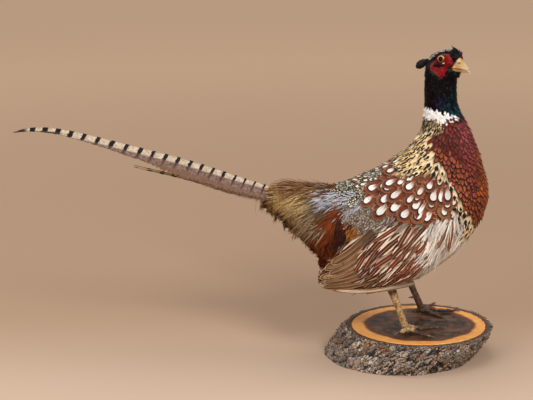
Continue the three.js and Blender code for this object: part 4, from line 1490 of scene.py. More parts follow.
class Plume:
    """The finish of one tract's feathers: its marking in the two dyes, a shaft, barbs and painted shade at
    each feather's root and rim.
    """

    def __init__(self, tract: Tract) -> None:
        """Reads what every marking is drawn with.

        Args:
            tract: what kind of feather it is for.
        """
        graph = Graph("feather_" + tract.name, tract.roughness, Metallic=tract.metallic,
                      Specular_IOR_Level=tract.gloss)
        across, along = graph.vane()
        self.tract = tract
        self.graph = graph
        self.wide = abs(across)
        self.along = along
        self.grain = graph.noise(700.0, 2.0)
        self.fray = self.grain * 0.24 - 0.12
        self.base = graph.read(Coat.GROUND, "Color")
        self.ink = graph.read(Coat.MARK, "Color")
        self.luck = graph.read(Coat.GROUND, "Alpha")

    def material(self) -> Material:
        """Makes the finish, with painted shade towards each feather's root and along its rim.

        Returns:
            The material.
        """
        graph = self.graph
        lines = self.barbs()
        shade = (lines * 0.24 + 0.9) * (self.grain * 0.4 + 0.8)
        # painted shade: darker towards the root, where the feathers above would shade it
        shade = shade * (graph.step(self.along, 0.0, 0.5) * 0.6 + 0.4)
        # painted shade: a dark line along the rim, for the shaded gaps between feathers
        if self.tract.columns > 3:
            shade = shade * (graph.step(self.rim(0.6), 0.82, 1.0) * -0.45 + 1.0)
        grey = graph.value("CombineColor", {0: shade, 1: shade, 2: shade})
        graph.colour(graph.mix(1.0, self.marked(), grey, "MULTIPLY"))
        graph.bump(lines, 0.12 * MM, 0.7)
        return graph.material

    def barbs(self) -> Value:
        """Returns fine lines that run out and forward from the shaft."""
        aspect = self.tract.length / self.tract.width
        count = 9.0 + self.tract.length * 0.9
        slant = self.wide * (-0.55 / aspect) + self.along
        return self.graph.math("SINE", slant * (count * 2 * math.pi)) * 0.5 + 0.5

    def strands(self, count: float) -> Value:
        """Returns the uneven dark and pale of strands that run along the feather.

        Args:
            count: about how many there are from side to side.

        Returns:
            The noise.
        """
        across, along = self.graph.vane()
        inputs = {0: across * count, 1: (along - self.wide * 0.12) * 3.0, 2: self.luck * 37.0}
        return self.graph.noise(1.0, 3.0, vector=self.graph.value("CombineXYZ", inputs))

    def round(self, across: Value, along: Value) -> Value:
        """Returns how far out a place is from two distances at right angles."""
        return self.graph.math("SQRT", across * across + along * along)

    def rim(self, start: float) -> Value:
        """Returns how near the edge is: 0 at the shaft's middle and 1 on the rim."""
        end = self.graph.math("MAXIMUM", (self.along - start) / (1 - start), 0.0)
        return self.round(self.wide, end)

    def marked(self) -> Value:
        """Returns the feather's colour, with its tract's own marking."""
        kinds = {
            Marking.PLAIN: self.plain, Marking.SCALE: self.scale, Marking.STREAK: self.streak,
            Marking.TIPPED: self.tipped, Marking.TEARDROP: self.teardrop, Marking.RINGED: self.ringed,
            Marking.VERMICULATED: self.vermiculated, Marking.STRIPED: self.striped,
            Marking.BARRED: self.barred, Marking.EDGED: self.edged,
        }
        return kinds[self.tract.marking](self.graph)

    def plain(self, graph: Graph) -> Value:
        """Returns the ground alone."""
        return self.base

    def scale(self, graph: Graph) -> Value:
        """Returns the ground with a dark rim."""
        rim = self.rim(0.45) + self.fray
        return graph.fade(rim, 0.72, 0.82, self.base, self.ink)

    def streak(self, graph: Graph) -> Value:
        """Returns the ground with a dark dash towards its tip, and on a few feathers a dark rim."""
        inner = 1.0 - graph.step(self.wide + self.fray * 1.6, 0.42, 0.5)
        low = graph.step(self.along, 0.46, 0.52)
        dash = inner * low * graph.step(self.luck, 0.14, 0.2)
        rim = self.rim(0.55) + self.fray
        edge = graph.step(rim, 0.86, 0.96) * graph.step(self.luck, 0.76, 0.8)
        return graph.mix(graph.math("MAXIMUM", dash, edge), self.base, self.ink)

    def tipped(self, graph: Graph) -> Value:
        """Returns the ground with a torn dark diamond near its tip."""
        reach = abs(self.along - 0.78) / 0.3
        size = self.luck * 0.66 + 0.66
        torn = self.strands(3.0) * 0.9 - 0.45
        spot = self.wide * 1.5 + reach + (self.fray * 1.6 + torn - size)
        return graph.fade(spot, -0.05, 0.05, self.ink, self.base)

    def ringed(self, graph: Graph) -> Value:
        """Returns a pale feather with a black ring inside its brown rim."""
        rim = self.rim(0.4) + self.fray
        dark = graph.step(rim, 0.54, 0.6) * graph.step(rim, 0.9, 0.82)
        ring = graph.fade(rim, 0.66, 0.76, self.base, self.ink)
        return graph.mix(dark, ring, (0.006, 0.005, 0.004))

    def vermiculated(self, graph: Graph) -> Value:
        """Returns the ground with fine, wandering dark lines."""
        return graph.fade(graph.cells(250.0), 0.2, 0.1, self.base, self.ink)

    def teardrop(self, graph: Graph) -> Value:
        """Returns a pale drop in a black ring, a band of ink round it and a rusty rim."""
        along, ink, black = self.along, self.ink, (0.006, 0.005, 0.005)
        taper = graph.step(along, 0.05, 0.66) * 0.36 + 0.04
        reach = graph.math("MAXIMUM", (along - 0.63) / 0.17, 0.0)
        drop = self.round(self.wide / taper, reach) + self.fray
        streak = along + self.strands(9.0) * 0.36
        shade = graph.fade(streak, 0.5, 0.82, (0.27, 0.13, 0.07), self.base)
        outer = graph.fade(along, 0.36, 0.6, ink, black)
        ring = graph.fade(drop, 0.97, 1.04, shade, outer)
        broad = graph.step(along, 0.55, 0.84) * 0.26 + 1.14
        band = graph.fade(drop - broad, 0.0, 0.06, ring, ink)
        return graph.fade(self.rim(0.5), 0.88, 0.97, band, (0.36, 0.16, 0.065))

    def edged(self, graph: Graph) -> Value:
        """Returns a mottled blade with a rusty band, a pale edge and a pale shaft."""
        edge = self.rim(0.86) + self.fray * 0.6
        darker = graph.mix(1.0, self.base, (0.38, 0.33, 0.27), "MULTIPLY")
        mottled = graph.fade(self.strands(5.0), 0.42, 0.6, self.base, darker)
        banded = graph.fade(edge, 0.46, 0.66, mottled, (0.2, 0.06, 0.014))
        edged = graph.fade(edge, 0.84, 0.94, banded, self.ink)
        return graph.mix(self.shaft(0.03, 0.09) * 0.8, edged, (0.42, 0.27, 0.13))

    def striped(self, graph: Graph) -> Value:
        """Returns a pale feather with a torn dark middle and a paler shaft."""
        strand = self.strands(11.0)
        middle = 1.0 - graph.step(strand * 0.5 + (self.wide - 0.25), 0.5, 0.57)
        body = graph.mix(graph.step(strand, 0.54, 0.7) * 0.75, self.base, (0.2, 0.1, 0.045))
        striped = graph.mix(middle, body, self.ink)
        return graph.mix(self.shaft(0.02, 0.07) * 0.6, striped, (0.6, 0.44, 0.28))

    def barred(self, graph: Graph) -> Value:
        """Returns the ground with cross bars on some feathers and a darker tip."""
        wave = graph.math("SINE", self.along * 46.0)
        bars = graph.step(wave, 0.2, 0.7) * graph.step(self.luck, 0.35, 0.5)
        barred = graph.mix(bars * 0.5, self.base, self.ink)
        return graph.mix(graph.step(self.along, 0.62, 0.95) * 0.25, barred, (0.18, 0.09, 0.035))

    def shaft(self, inner: float, outer: float) -> Value:
        """Returns 1 on the shaft and 0 beside it, by shares of the half width."""
        return 1.0 - self.graph.step(self.wide, inner, outer)


# ------------------------------------------------------------------ shaping by numbers


def fetch(items: Sequence, name: str) -> Array:
    """Reads a whole number from each of a mesh's items."""
    values = np.empty(len(items), int)
    items.foreach_get(name, values)
    return values


def fetch_triples(items: Sequence, name: str, kind: type = float) -> Array:
    """Reads three numbers from each of a mesh's items."""
    values = np.empty(len(items) * 3, kind)
    items.foreach_get(name, values)
    return values.reshape(-1, 3)


def read_points(piece: Piece) -> Array:
    """Returns a mesh's points, in mm."""
    return fetch_triples(piece.data.vertices, "co") / MM


def read_normals(piece: Piece) -> Array:
    """Returns a mesh's normals, point by point."""
    return fetch_triples(piece.data.vertices, "normal")


def push(piece: Piece, height: Array) -> None:
    """Moves a mesh's points along their normals, by heights in mm."""
    moved = (read_points(piece) + read_normals(piece) * height[:, None]) * MM
    piece.data.vertices.foreach_set("co", moved.ravel())
    piece.data.update()


def label(piece: Piece, **values: Array) -> None:
    """Keeps a number for each point under each name, for the finish to read."""
    for name, numbers in values.items():
        layer = piece.data.attributes.new(name, "FLOAT", "POINT")
        layer.data.foreach_set("value", np.asarray(numbers, float))


def cells(points: Array, size: float, seed: int, stretch: Point = (1.0, 1.0, 1.0)) -> tuple:
    """Measures a pattern of irregular cells, such as scales, warts or plates of bark.

    Args:
        points: places, in mm.
        size: about how wide a cell is, in mm.
        seed: fixes the pattern.
        stretch: how much each axis is packed.

    Returns:
        How far each place is inside its cell's border, as a share of the size, and a random number
        for its cell.
    """
    generator = np.random.default_rng(seed)
    packed = points * np.array(stretch)
    order = generator.permutation(len(packed))
    grid: set[tuple[int, int, int]] = set()
    seeds = []
    for index in order:
        key = tuple(np.floor(packed[index] / size).astype(int).tolist())
        if key not in grid:
            grid.add(key)
            seeds.append(packed[index])
    tree = find_tree(seeds)
    luck = generator.random(len(seeds))
    inside_by, own = np.empty(len(packed)), np.empty(len(packed))
    for index, place in enumerate(packed):
        (_, first, near), (_, _, far) = tree.find_n(place, 2)
        inside_by[index] = (far - near) / size
        own[index] = luck[first]
    return inside_by, own


def ease(value: Array, low: float, high: float) -> Array:
    """Returns 0 below low and 1 above high, with a smooth rise between them."""
    share = np.clip((value - low) / (high - low), 0, 1)
    return share * share * (3 - 2 * share)


def smooth_line(points: Sequence[Sequence[float]], count: int) -> Array:
    """Draws a smooth line through points, evenly spaced along its length.

    Args:
        points: the points it passes.
        count: how many points it gets.

    Returns:
        The points of the line.
    """
    knots = np.array(points, float)
    ends = np.vstack((2 * knots[0] - knots[1], knots, 2 * knots[-1] - knots[-2]))
    share = np.linspace(0, 1, 24, endpoint=False)[:, None]
    pieces = []
    for a, b, c, d in zip(ends, ends[1:], ends[2:], ends[3:]):
        pieces.append(0.5 * (2 * b + (c - a) * share + (2 * a - 5 * b + 4 * c - d) * share ** 2
                             + (3 * b - a - 3 * c + d) * share ** 3))
    line = np.vstack((*pieces, knots[-1:]))
    run = np.concatenate(((0.0,), np.cumsum(np.linalg.norm(np.diff(line, axis=0), axis=1))))
    even = np.linspace(0, run[-1], count)
    return np.stack([np.interp(even, run, line[:, axis]) for axis in range(line.shape[1])], 1)


# ------------------------------------------------------------------ head


@dataclass
class Face:
    """The bare and hard parts of the head: eyes, lids, wattles and bill. Sizes are in mm."""

    eye: Point = (4.5, 13.4, 4.0)
    eye_radius: float = 7.6
    gaze: Point = (0.22, 1.0, 0.04)
    pupil: float = 3.75
    iris: float = 5.2
    cornea: float = 0.7
    cornea_reach: float = 5.6
    lid_radius: float = 5.55
    lid_thick: float = 0.94
    bare_step: float = 0.5
    bare_reach: Line = ((-17, 30), (-28, 15))
    bare_thick: float = 0.9
    wart: float = 2.1
    socket: float = 9.5
    bill_start: float = 19.5
    bridge_rounds: int = 400
    calm_rounds: int = 7

    upper: tuple[tuple[float, ...], ...] = (
        (12, -7.6, -9.7, 14.0), (16, -6.4, -9.5, 12.6), (20, -3.6, -9.3, 10.4), (23.5, 3.2, -9.2, 8.4),
        (26.5, 6.9, -9.2, 7.4), (29.5, 6.1, -9.2, 6.8), (34, 2.6, -9.4, 5.7), (39, -1.2, -9.9, 4.5),
        (43, -4.4, -10.6, 3.4), (46.5, -7.8, -11.8, 2.3), (49, -11.2, -13.6, 1.3),
        (50.8, -15.4, -16.8, 0.35),
    )
    lower: tuple[tuple[float, ...], ...] = (
        (12, -9.9, -12.6, 13.2), (16, -9.9, -13.4, 11.8), (20, -9.9, -14.6, 9.6), (24, -9.9, -15.4, 7.7),
        (27, -10.0, -15.4, 6.6), (34, -10.3, -15.2, 5.0), (40, -10.8, -14.8, 3.8), (44, -11.6, -14.2, 2.4),
        (46.6, -12.8, -13.8, 0.6),
    )

    def build(self, skin: "Skin") -> None:
        """Makes the pieces of both sides and the bill.

        Args:
            skin: the bird's skin, on which the bare red parts lie.
        """
        wattle, lid, eye = self.wattle_finish(), self.lid_finish(), self.eye_finish()
        for side, sign in SIDES.items():
            self.make_wattle(side, sign, skin, wattle)
            self.make_lids(side, sign, lid)
            self.make_eye(side, sign, eye)
        horn = self.bill_finish()
        self.make_bill("bill_upper", self.upper, 1.0, horn)
        self.make_bill("bill_lower", self.lower, -1.0, horn)

    def look(self, sign: float) -> tuple[Array, Array]:
        """Returns the middle of an eye and the way it looks, in the frame."""
        centre = HEAD.to_frame([(self.eye[0], self.eye[1] * sign, self.eye[2])])[0]
        way = unit(np.array((self.gaze[0], self.gaze[1] * sign, self.gaze[2])) @ HEAD.axes())
        return centre, way

    def make_eye(self, side: str, sign: float, material: Material) -> None:
        """Makes a glass eye with its pupil turned outwards."""
        centre, way = self.look(sign)
        Bench.clear()
        bpy.ops.mesh.primitive_uv_sphere_add(segments=72, ring_count=48, radius=self.eye_radius * MM)
        piece = bpy.context.object
        piece.name = "glass_eye_" + side
        Bench.edit(piece, bpy.ops.transform.translate, value=tuple(centre * MM))
        points = read_points(piece) - centre
        ahead = points @ way
        off = np.linalg.norm(points - ahead[:, None] * way, axis=1)
        cornea = np.where(ahead > 0, self.cornea * (1 - ease(off, 0.0, self.cornea_reach)), 0.0)
        push(piece, cornea)
        label(piece, Off=np.where(ahead > 0, off, 99.0))
        turn = np.arctan2(points[:, 2], points @ np.cross(way, (0.0, 0.0, 1.0)))
        label(piece, Turn=turn)
        Bench.finish(piece, "glass_eye", material, "eye_" + side)

    def make_lids(self, side: str, sign: float, material: Material) -> None:
        """Makes the pair of lids as one creased ring round the eye."""
        centre, way = self.look(sign)
        Bench.clear()
        bpy.ops.mesh.primitive_torus_add(major_segments=72, minor_segments=16,
                                         major_radius=self.lid_radius * MM,
                                         minor_radius=self.lid_thick * MM)
        piece = bpy.context.object
        piece.name = "eyelids_" + side
        points = read_points(piece)
        turn = np.arctan2(points[:, 1], points[:, 0])
        away = np.hypot(points[:, 0], points[:, 1])
        flat = np.stack((points[:, 0] * 1.04, points[:, 1] * 0.86), 1)
        corner = 0.9 * np.exp(-((np.abs(turn) - math.pi) / 0.35) ** 2) + 0.6 * np.exp(-(turn / 0.3) ** 2)
        flat *= (1 + 0.1 * corner)[:, None]
        crease = 0.16 * np.sin(26 * turn) * (points[:, 2] > 0)
        height = points[:, 2] * 0.9 + crease + 4.1 - 0.11 * (flat ** 2).sum(1) * 0.55
        ahead_axis = unit(np.cross((0.0, 0.0, 1.0), way)) * -sign
        up_axis = unit(np.cross(way, ahead_axis)) * -sign
        up_axis = up_axis * np.sign(up_axis[2])
        placed = centre + way * (height + 2.4)[:, None] + ahead_axis * flat[:, :1] + up_axis * flat[:, 1:]
        piece.data.vertices.foreach_set("co", (placed * MM).ravel())
        Bench.edit(piece, bpy.ops.mesh.normals_make_consistent, inside=False)
        label(piece, Ring=ease(away, self.lid_radius + 0.15, self.lid_radius + 0.75))
        Bench.finish(piece, "wattle_skin", material)

    def make_wattle(self, side: str, sign: float, skin: "Skin", material: Material) -> None:
        """Makes the bare red skin of one side, with its rows of soft warts and a dark patch of feathers.

        Args:
            side: which side of the head it is.
            sign: that side's y.
            skin: the bird's skin.
            material: its finish.
        """
        (left, right), (low, top) = self.bare_reach
        xs, zs = np.arange(left, right, self.bare_step), np.arange(low, top, self.bare_step)
        x, z = np.meshgrid(xs, zs, indexing="ij")
        out = self.surface(x, z, sign, skin)
        gap = edge_gap(WATTLE, x.ravel(), z.ravel()).reshape(x.shape)
        off = np.hypot(x - self.eye[0], z - self.eye[2])
        out = out + 3.4 * ease(gap, -1.4, 1.8) - 1.7 + 1.5 * np.exp(-((off - 5.4) / 2.6) ** 2)
        out += 3.4 * np.exp(-((x - 17.5) / 5.5) ** 2 - ((z - 3) / 9) ** 2)
        out += 2.6 * np.exp(-((x - 11) / 5) ** 2 - ((z + 19) / 6) ** 2)
        keep = gap > -1.3
        number = np.full(x.shape, -1)
        number[keep] = np.arange(keep.sum())
        corners = np.stack((number[:-1, :-1], number[1:, :-1], number[1:, 1:], number[:-1, 1:]),
                           -1).reshape(-1, 4)
        quads = corners[(corners >= 0).all(1)]
        if sign > 0:
            quads = quads[:, ::-1]
        places = HEAD.to_frame(np.stack((x[keep], sign * out[keep], z[keep]), 1))
        piece = Bench.weave("bare_skin_" + side, places, quads.tolist())
        wart, luck = cells(places, self.wart, 5)
        dome = np.clip(wart, 0, 0.7) ** 0.6
        away = ease(off[keep], 6.4, 8.5)
        folds = 0.35 * np.sin(off[keep] * 3.4) * np.exp(-((off[keep] - 7.6) / 1.6) ** 2)
        push(piece, (0.9 * dome * (0.5 + 0.7 * luck) - 0.3) * (0.2 + 0.8 * away) + folds)
        label(piece, Wart=dome, Luck=luck)
        x, z = x[keep], z[keep]
        rear = 1 - ease(edge_gap(WATTLE, x, z), 0.6, 2.2)
        label(piece, Rim=rear * ease(z, -10, -14) * ease(x, 9, 3) * ease(luck, 0.1, 0.5))
        # painted shade: marks the skin sunk in the eye's socket, which the finish makes near black
        label(piece, Socket=ease(off[keep], 7.5, 6.9))
        spot = np.hypot((x - 10.8) / 2.4, (z + 1.8 - 0.3 * (x - 10.8)) / 1.1)
        label(piece, Spot=ease(spot, 1.1, 0.7))
        Bench.smooth(piece)
        self.make_cheek(side, piece)
        Bench.modify(piece, "SOLIDIFY", thickness=self.bare_thick * MM, offset=-1.0)
        Bench.finish(piece, "wattle_skin", material, "wattle_" + side)

    def surface(self, x: Array, z: Array, sign: float, skin: "Skin") -> Array:
        """Finds how far out the side of the head is, bridging the socket of the eye.

        Args:
            x: places along the head.
            z: places up the head.
            sign: the side's y.
            skin: the bird's skin.

        Returns:
            The distance from the head's middle plane.
        """
        out = np.full(x.shape, np.nan)
        starts = HEAD.to_frame(np.stack((x.ravel(), np.full(x.size, sign * 60.0), z.ravel()), 1)) * MM
        way = Vector(-sign * HEAD.axes()[1])
        for index, start in enumerate(starts):
            place = skin.tree.ray_cast(Vector(start), way)[0]
            if place is not None:
                out.flat[index] = abs(HEAD.to_head(np.array(place)[None] / MM)[0, 1])
        ahead = np.broadcast_to(out[np.abs(x[:, 0] - self.bill_start).argmin()][None], x.shape)
        front = x > self.bill_start
        out[front] = (ahead - 0.32 * (x - self.bill_start))[front]
        unknown = ~np.isfinite(out) | (np.hypot(x - self.eye[0], z - self.eye[2]) < self.socket)
        out[unknown] = np.nanmean(out[~unknown])
        for turn in range(self.bridge_rounds):
            padded = np.pad(out, 1, "edge")
            mean = (padded[2:, 1:-1] + padded[:-2, 1:-1] + padded[1:-1, 2:] + padded[1:-1, :-2]) / 4
            everywhere = turn >= self.bridge_rounds - self.calm_rounds
            out = np.where(unknown | everywhere, mean, out)
        return out

    def make_cheek(self, side: str, bare: Piece) -> None:
        """Grows the small patch of dark feathers on the bare skin behind and below the eye.

        Args:
            side: which side of the head it is.
            bare: the bare skin.
        """
        ground = Skin()
        ground.piece = bare
        ground.tree = BVHTree.FromObject(bare, bpy.context.evaluated_depsgraph_get())
        ground.read_normals()
        coat = Coat(ground, seed=31)
        places, normals = ground.scatter(0.55 * MM, coat.generator)
        local = HEAD.to_head(places / MM)
        here = inside(CHEEK, local[:, 0], local[:, 2])
        places, normals = places[here], normals[here]
        lie = np.tile((-0.95, 0.0, -0.25), (len(places), 1)) @ HEAD.axes()
        lie = flush(lie, normals)
        flat = np.ones(len(places))
        kept = coat.thin(places, flat * 0.8 * MM, lie, flat)
        coat.grow(replace(CHEEK_TRACT, name="cheek_" + side), Roots.plain(places[kept], normals[kept],
                                                                          lie[kept]))

    def make_bill(self, node: str, stations: Sequence[Sequence[float]], up: float,
                  material: Material) -> None:
        """Makes one half of the bill as a smooth loft, with a nostril under its cover on the upper half.

        Args:
            node: the frame node that it stands for.
            stations: its sections: x, top, bottom and half width.
            up: 1 for the upper half, -1 for the lower.
            material: its finish.
        """
        sections, arch, flat = 96, 46, 12
        line = smooth_line(stations, sections)
        turn = np.linspace(-0.5, 0.5, arch) * math.pi
        x, top, low, half = line.T
        base, tall = (low, top - low) if up > 0 else (top, low - top)
        y = half[:, None] * np.sin(turn)[None]
        z = base[:, None] + tall[:, None] * np.cos(turn)[None] ** 1.1
        over = np.linspace(1, -1, flat + 2)[None, 1:-1]
        under_y = half[:, None] * over
        hollow = up * 0.7 * np.minimum(half, 2.0)[:, None] / 2 * (1 - over ** 2)
        under_z = np.broadcast_to(base[:, None], under_y.shape) + hollow
        y, z = np.hstack((y, under_y)), np.hstack((z, under_z))
        around = arch + flat
        local = np.stack((np.broadcast_to(x[:, None], y.shape), y, z), -1).reshape(-1, 3)
        index = np.arange(len(local)).reshape(-1, around)
        ring = np.roll(index, -1, 1)
        quads = np.stack((index[:-1], ring[:-1], ring[1:], index[1:]), -1).reshape(-1, 4)
        faces = [*quads.tolist(), index[0].tolist(), index[-1].tolist()]
        piece = Bench.weave("horn_" + node, HEAD.to_frame(local), faces)
        Bench.edit(piece, bpy.ops.mesh.normals_make_consistent, inside=False)
        outer = ease(np.abs(local[:, 1]), 1.6, 3.4) * (up > 0)
        cover = np.exp(-((local[:, 0] - 29.0) / 3.6) ** 2 - ((local[:, 2] - 2.6) / 3.0) ** 2) * outer
        slit = np.exp(-((local[:, 0] - 30.4) / 2.4) ** 2 - ((local[:, 2] + 0.6) / 0.8) ** 2) * outer
        push(piece, 1.0 * cover - 1.3 * slit)
        label(piece, Slit=slit, Cover=cover, Reach=local[:, 0], Height=local[:, 2])
        Bench.finish(piece, "bill_horn", material, node)

    def wattle_finish(self) -> Material:
        """Makes the red, warty bare skin, with painted shade in the hollows between the warts and round the
        eye.
        """
        graph = Graph("bare_red_skin", 0.3, Specular_IOR_Level=0.14)
        wart = graph.read("Wart")
        luck = graph.read("Luck")
        # painted shade: the hollows between the warts are a far darker red than their tops
        deep = graph.mix(luck, (0.04, 0.001, 0.002), (0.11, 0.002, 0.004))
        raised = graph.mix(luck, (0.2, 0.002, 0.005), (0.53, 0.007, 0.015))
        red = graph.fade(wart, 0.2, 0.7, deep, raised)
        rim = graph.read("Rim")
        spot = graph.read("Spot")
        edged = graph.mix(rim * 0.9, red, (0.72, 0.24, 0.04))
        spotted = graph.mix(spot, edged, (0.96, 0.68, 0.32))
        # painted shade: near black round the eye, where the skin sinks into its socket
        graph.colour(graph.mix(graph.read("Socket"), spotted, (0.016, 0.003, 0.003)))
        graph.bump(graph.noise(2600.0, 2.0), 0.12 * MM)
        return graph.material

    def lid_finish(self) -> Material:
        """Makes the finely creased lids."""
        graph = Graph("lid_skin", 0.38)
        tint = graph.noise(1500.0, 3.0)
        cream = graph.mix(tint, (0.52, 0.3, 0.1), (0.84, 0.6, 0.29))
        red = graph.mix(tint, (0.16, 0.006, 0.008), (0.34, 0.03, 0.022))
        graph.colour(graph.mix(graph.read("Ring"), cream, red))
        graph.bump(graph.noise(2200.0, 3.0), 0.15 * MM)
        return graph.material

    def eye_finish(self) -> Material:
        """Makes the glass eye: black pupil, amber iris with a pale ring and a dark edge."""
        graph = Graph("amber_glass", 0.07, Specular_IOR_Level=0.16)
        off = graph.read("Off")
        turn = graph.read("Turn")
        rays = graph.math("SINE", turn * 46.0 + off * 1.5)
        share = off / self.iris
        iris = graph.ramp(share, (0.66, (0.12, 0.04, 0.008)), (0.78, (0.34, 0.12, 0.016)),
                          (0.9, (0.6, 0.28, 0.05)), (0.97, (0.72, 0.46, 0.16)))
        rayed = graph.mix(rays * 0.1 + 0.1, iris, (0.35, 0.12, 0.02))
        inner = graph.fade(off, self.pupil - 0.15, self.pupil + 0.15, (0.003, 0.003, 0.004), rayed)
        graph.colour(graph.fade(off, self.iris, self.iris + 0.35, inner, (0.02, 0.012, 0.01)))
        return graph.material

    def bill_finish(self) -> Material:
        """Makes the horn of the bill, paler and polished towards its tip."""
        graph = Graph("bill_horn", 0.34, Subsurface_Weight=0.1, Subsurface_Scale=0.002)
        reach = graph.read("Reach")
        height = graph.read("Height")
        share = graph.step(reach, 20.0, 50.0)
        horn = graph.ramp(share, (0.0, (0.56, 0.32, 0.11)), (0.35, (0.46, 0.26, 0.09)),
                          (0.7, (0.6, 0.41, 0.2)),
                          (1.0, (0.54, 0.42, 0.28)))
        streaks = graph.noise(420.0, 4.0, stretch=(0.5, 0.5, 2.2))
        horn = graph.mix(graph.step(streaks, 0.5, 0.72) * 0.45, horn, (0.25, 0.14, 0.055))
        cover = graph.read("Cover")
        horn = graph.mix(graph.step(cover, 0.2, 0.7) * 0.8, horn, (0.66, 0.5, 0.31))
        gape = graph.step(height, -8.2, -8.9) * graph.step(height, -11.0, -10.4)
        horn = graph.mix(gape * 0.4, horn, (0.26, 0.14, 0.06))
        slit = graph.read("Slit")
        # painted shade: the nostril's slit, sunk into the horn, is coloured almost black
        graph.colour(graph.fade(slit, 0.25, 0.6, horn, (0.06, 0.028, 0.012)))
        graph.rough(streaks * 0.25 + 0.13)
        graph.bump(streaks, 0.1 * MM)
        return graph.material


# ------------------------------------------------------------------ tail


@dataclass(frozen=True)
class TailPair:
    """One pair of tail feathers, as shares of the middle pair or in mm."""

    reach: float
    drop: float
    ease: float
    spread: float
    width: float


@dataclass
class Tail:
    """The long barred tail, a roof of paired feathers that narrows to one point. Sizes are in mm."""

    gap: float = 0.3
    stack: float = 1.9
    slope: float = 47.0
    shaft: float = 0.75
    rows: int = 220
    columns: int = 9
    ridge: Line = (
        (-205, 271), (-277, 294), (-357, 321), (-440, 343), (-522, 364), (-575, 374), (-612, 374),
        (-637, 367.5),
    )
    vane: Line = (
        (0, 22), (0.2, 29), (0.37, 33), (0.52, 21.5), (0.68, 15), (0.83, 10.5), (0.95, 6), (1, 0.9),
    )
    pairs: tuple[TailPair, ...] = (
        TailPair(1.0, 0, 1.0, 0, 1.0), TailPair(0.78, 2, 1.0, 0.5, 0.95), TailPair(0.43, 18, 1.2, 2, 0.5),
        TailPair(0.32, 16, 1.2, 3, 0.42), TailPair(0.55, 24, 0.36, 5, 0.22),
    )
    bars: Line = (
        (-637, 21.6), (-606, 20.0), (-524, 16.0), (-435, 12.0), (-356, 8.0), (-286, 4.0), (-240, 1.0),
        (-205, -1.4),
    )
    bars_before: float = 2.0
    bars_all: float = 26.0
    widest: float = 33.0

    def build(self) -> None:
        """Makes every feather."""
        finish = self.finish(False)
        spotted = self.finish(True)
        for side, sign in SIDES.items():
            for number, pair in enumerate(self.pairs):
                material = spotted if number == len(self.pairs) - 1 else finish
                self.make(side, sign, number, pair, material)

    def make(self, side: str, sign: float, number: int, pair: TailPair, material: Material) -> None:
        """Makes one feather: a thin vane with a raised shaft and a frayed edge.

        Args:
            side: which side of the ridge it lies on.
            sign: that side's y.
            number: which pair it belongs to, from the middle one down.
            pair: that pair's sizes.
            material: its finish.
        """
        generator = np.random.default_rng(40 + 10 * number + (sign > 0))
        rows = max(70, int(self.rows * pair.reach))
        line = smooth_line(self.ridge, 400)
        along = np.linspace(0, 1, rows)
        at = along * pair.reach * (len(line) - 1)
        spine = np.stack([np.interp(at, np.arange(len(line)), line[:, axis]) for axis in (0, 1)], 1)
        ahead = unit(np.gradient(spine, axis=0))
        down = np.stack((ahead[:, 1], -ahead[:, 0]), 1)
        down *= np.where(down[:, 1] > 0, -1, 1)[:, None]
        shares, widths = np.array(self.vane).T
        wide = np.interp(along, shares, widths) * pair.width
        wide = calm(wide)
        fray = generator.normal(0, 0.035, rows) + 0.025 * np.sin(np.arange(rows) * 1.9)
        wide = wide * (1 + fray * ease(along, 0.0, 0.1) * ease(1 - along, 0.0, 0.06))
        across = np.linspace(0, 1, self.columns) ** 0.9
        out = wide[:, None] * across[None]
        slope = math.radians(self.slope)
        sag = 0.1 * out ** 2 / self.widest
        ripple = 0.35 * np.sin(along[:, None] * 70 + number) * across[None] ** 2
        fall = number * self.stack + pair.drop * along[:, None] ** pair.ease
        fall = fall + out * math.sin(slope) + sag * 0.3
        shaft = self.shaft * np.exp(-((across[None] * wide[:, None] - 1.1) / 0.9) ** 2)
        shaft = shaft * (1 - 0.8 * along[:, None])
        vane_u = np.broadcast_to(out / self.widest, out.shape)
        phase = np.interp(-spine[:, 0], -np.array(self.bars)[::-1, 0], np.array(self.bars)[::-1, 1])
        vane_v = np.broadcast_to((phase[:, None] + self.bars_before) / self.bars_all, out.shape)
        sheets = []
        for lift, width in ((0.28, 1.0), (-0.22, 0.0)):
            total = fall - lift - shaft * width - ripple * 0.5
            x = spine[:, :1] + down[:, :1] * total
            z = spine[:, 1:] + down[:, 1:] * total
            y = sign * (self.gap + pair.spread * along[:, None] + out * math.cos(slope))
            sheets.append(np.stack((x, np.broadcast_to(y, x.shape), z), -1))
        points = np.concatenate([sheet.reshape(-1, 3) for sheet in sheets])
        maps = np.stack((vane_u, vane_v), -1).reshape(-1, 2)
        maps = np.concatenate((maps, maps))
        quads = self.closed(rows, self.columns)
        tassel, tassel_maps, tassel_quads = self.fringe(sheets[0], maps, generator, len(points))
        piece = self.join("plume_%s_%d" % (side, number + 1), np.vstack((points, tassel)),
                          np.vstack((maps, tassel_maps)), np.vstack((quads, tassel_quads)))
        Bench.edit(piece, bpy.ops.mesh.normals_make_consistent, inside=False)
        Bench.finish(piece, "tail_feathers", material, "tail_%s_%d" % (side, number + 1))

    @staticmethod
    def closed(rows: int, columns: int) -> Array:
        """Returns the faces of two sheets joined round their edge."""
        top = np.arange(rows * columns).reshape(rows, columns)
        low = top + rows * columns
        faces = [np.stack((top[:-1, :-1], top[:-1, 1:], top[1:, 1:], top[1:, :-1]), -1).reshape(-1, 4),
                 np.stack((low[:-1, :-1], low[1:, :-1], low[1:, 1:], low[:-1, 1:]), -1).reshape(-1, 4)]
        for upper, under in ((top[0], low[0]), (top[:, -1], low[:, -1]), (top[-1, ::-1], low[-1, ::-1]),
                             (top[::-1, 0], low[::-1, 0])):
            faces.append(np.stack((upper[:-1], under[:-1], under[1:], upper[1:]), -1))
        return np.vstack(faces)

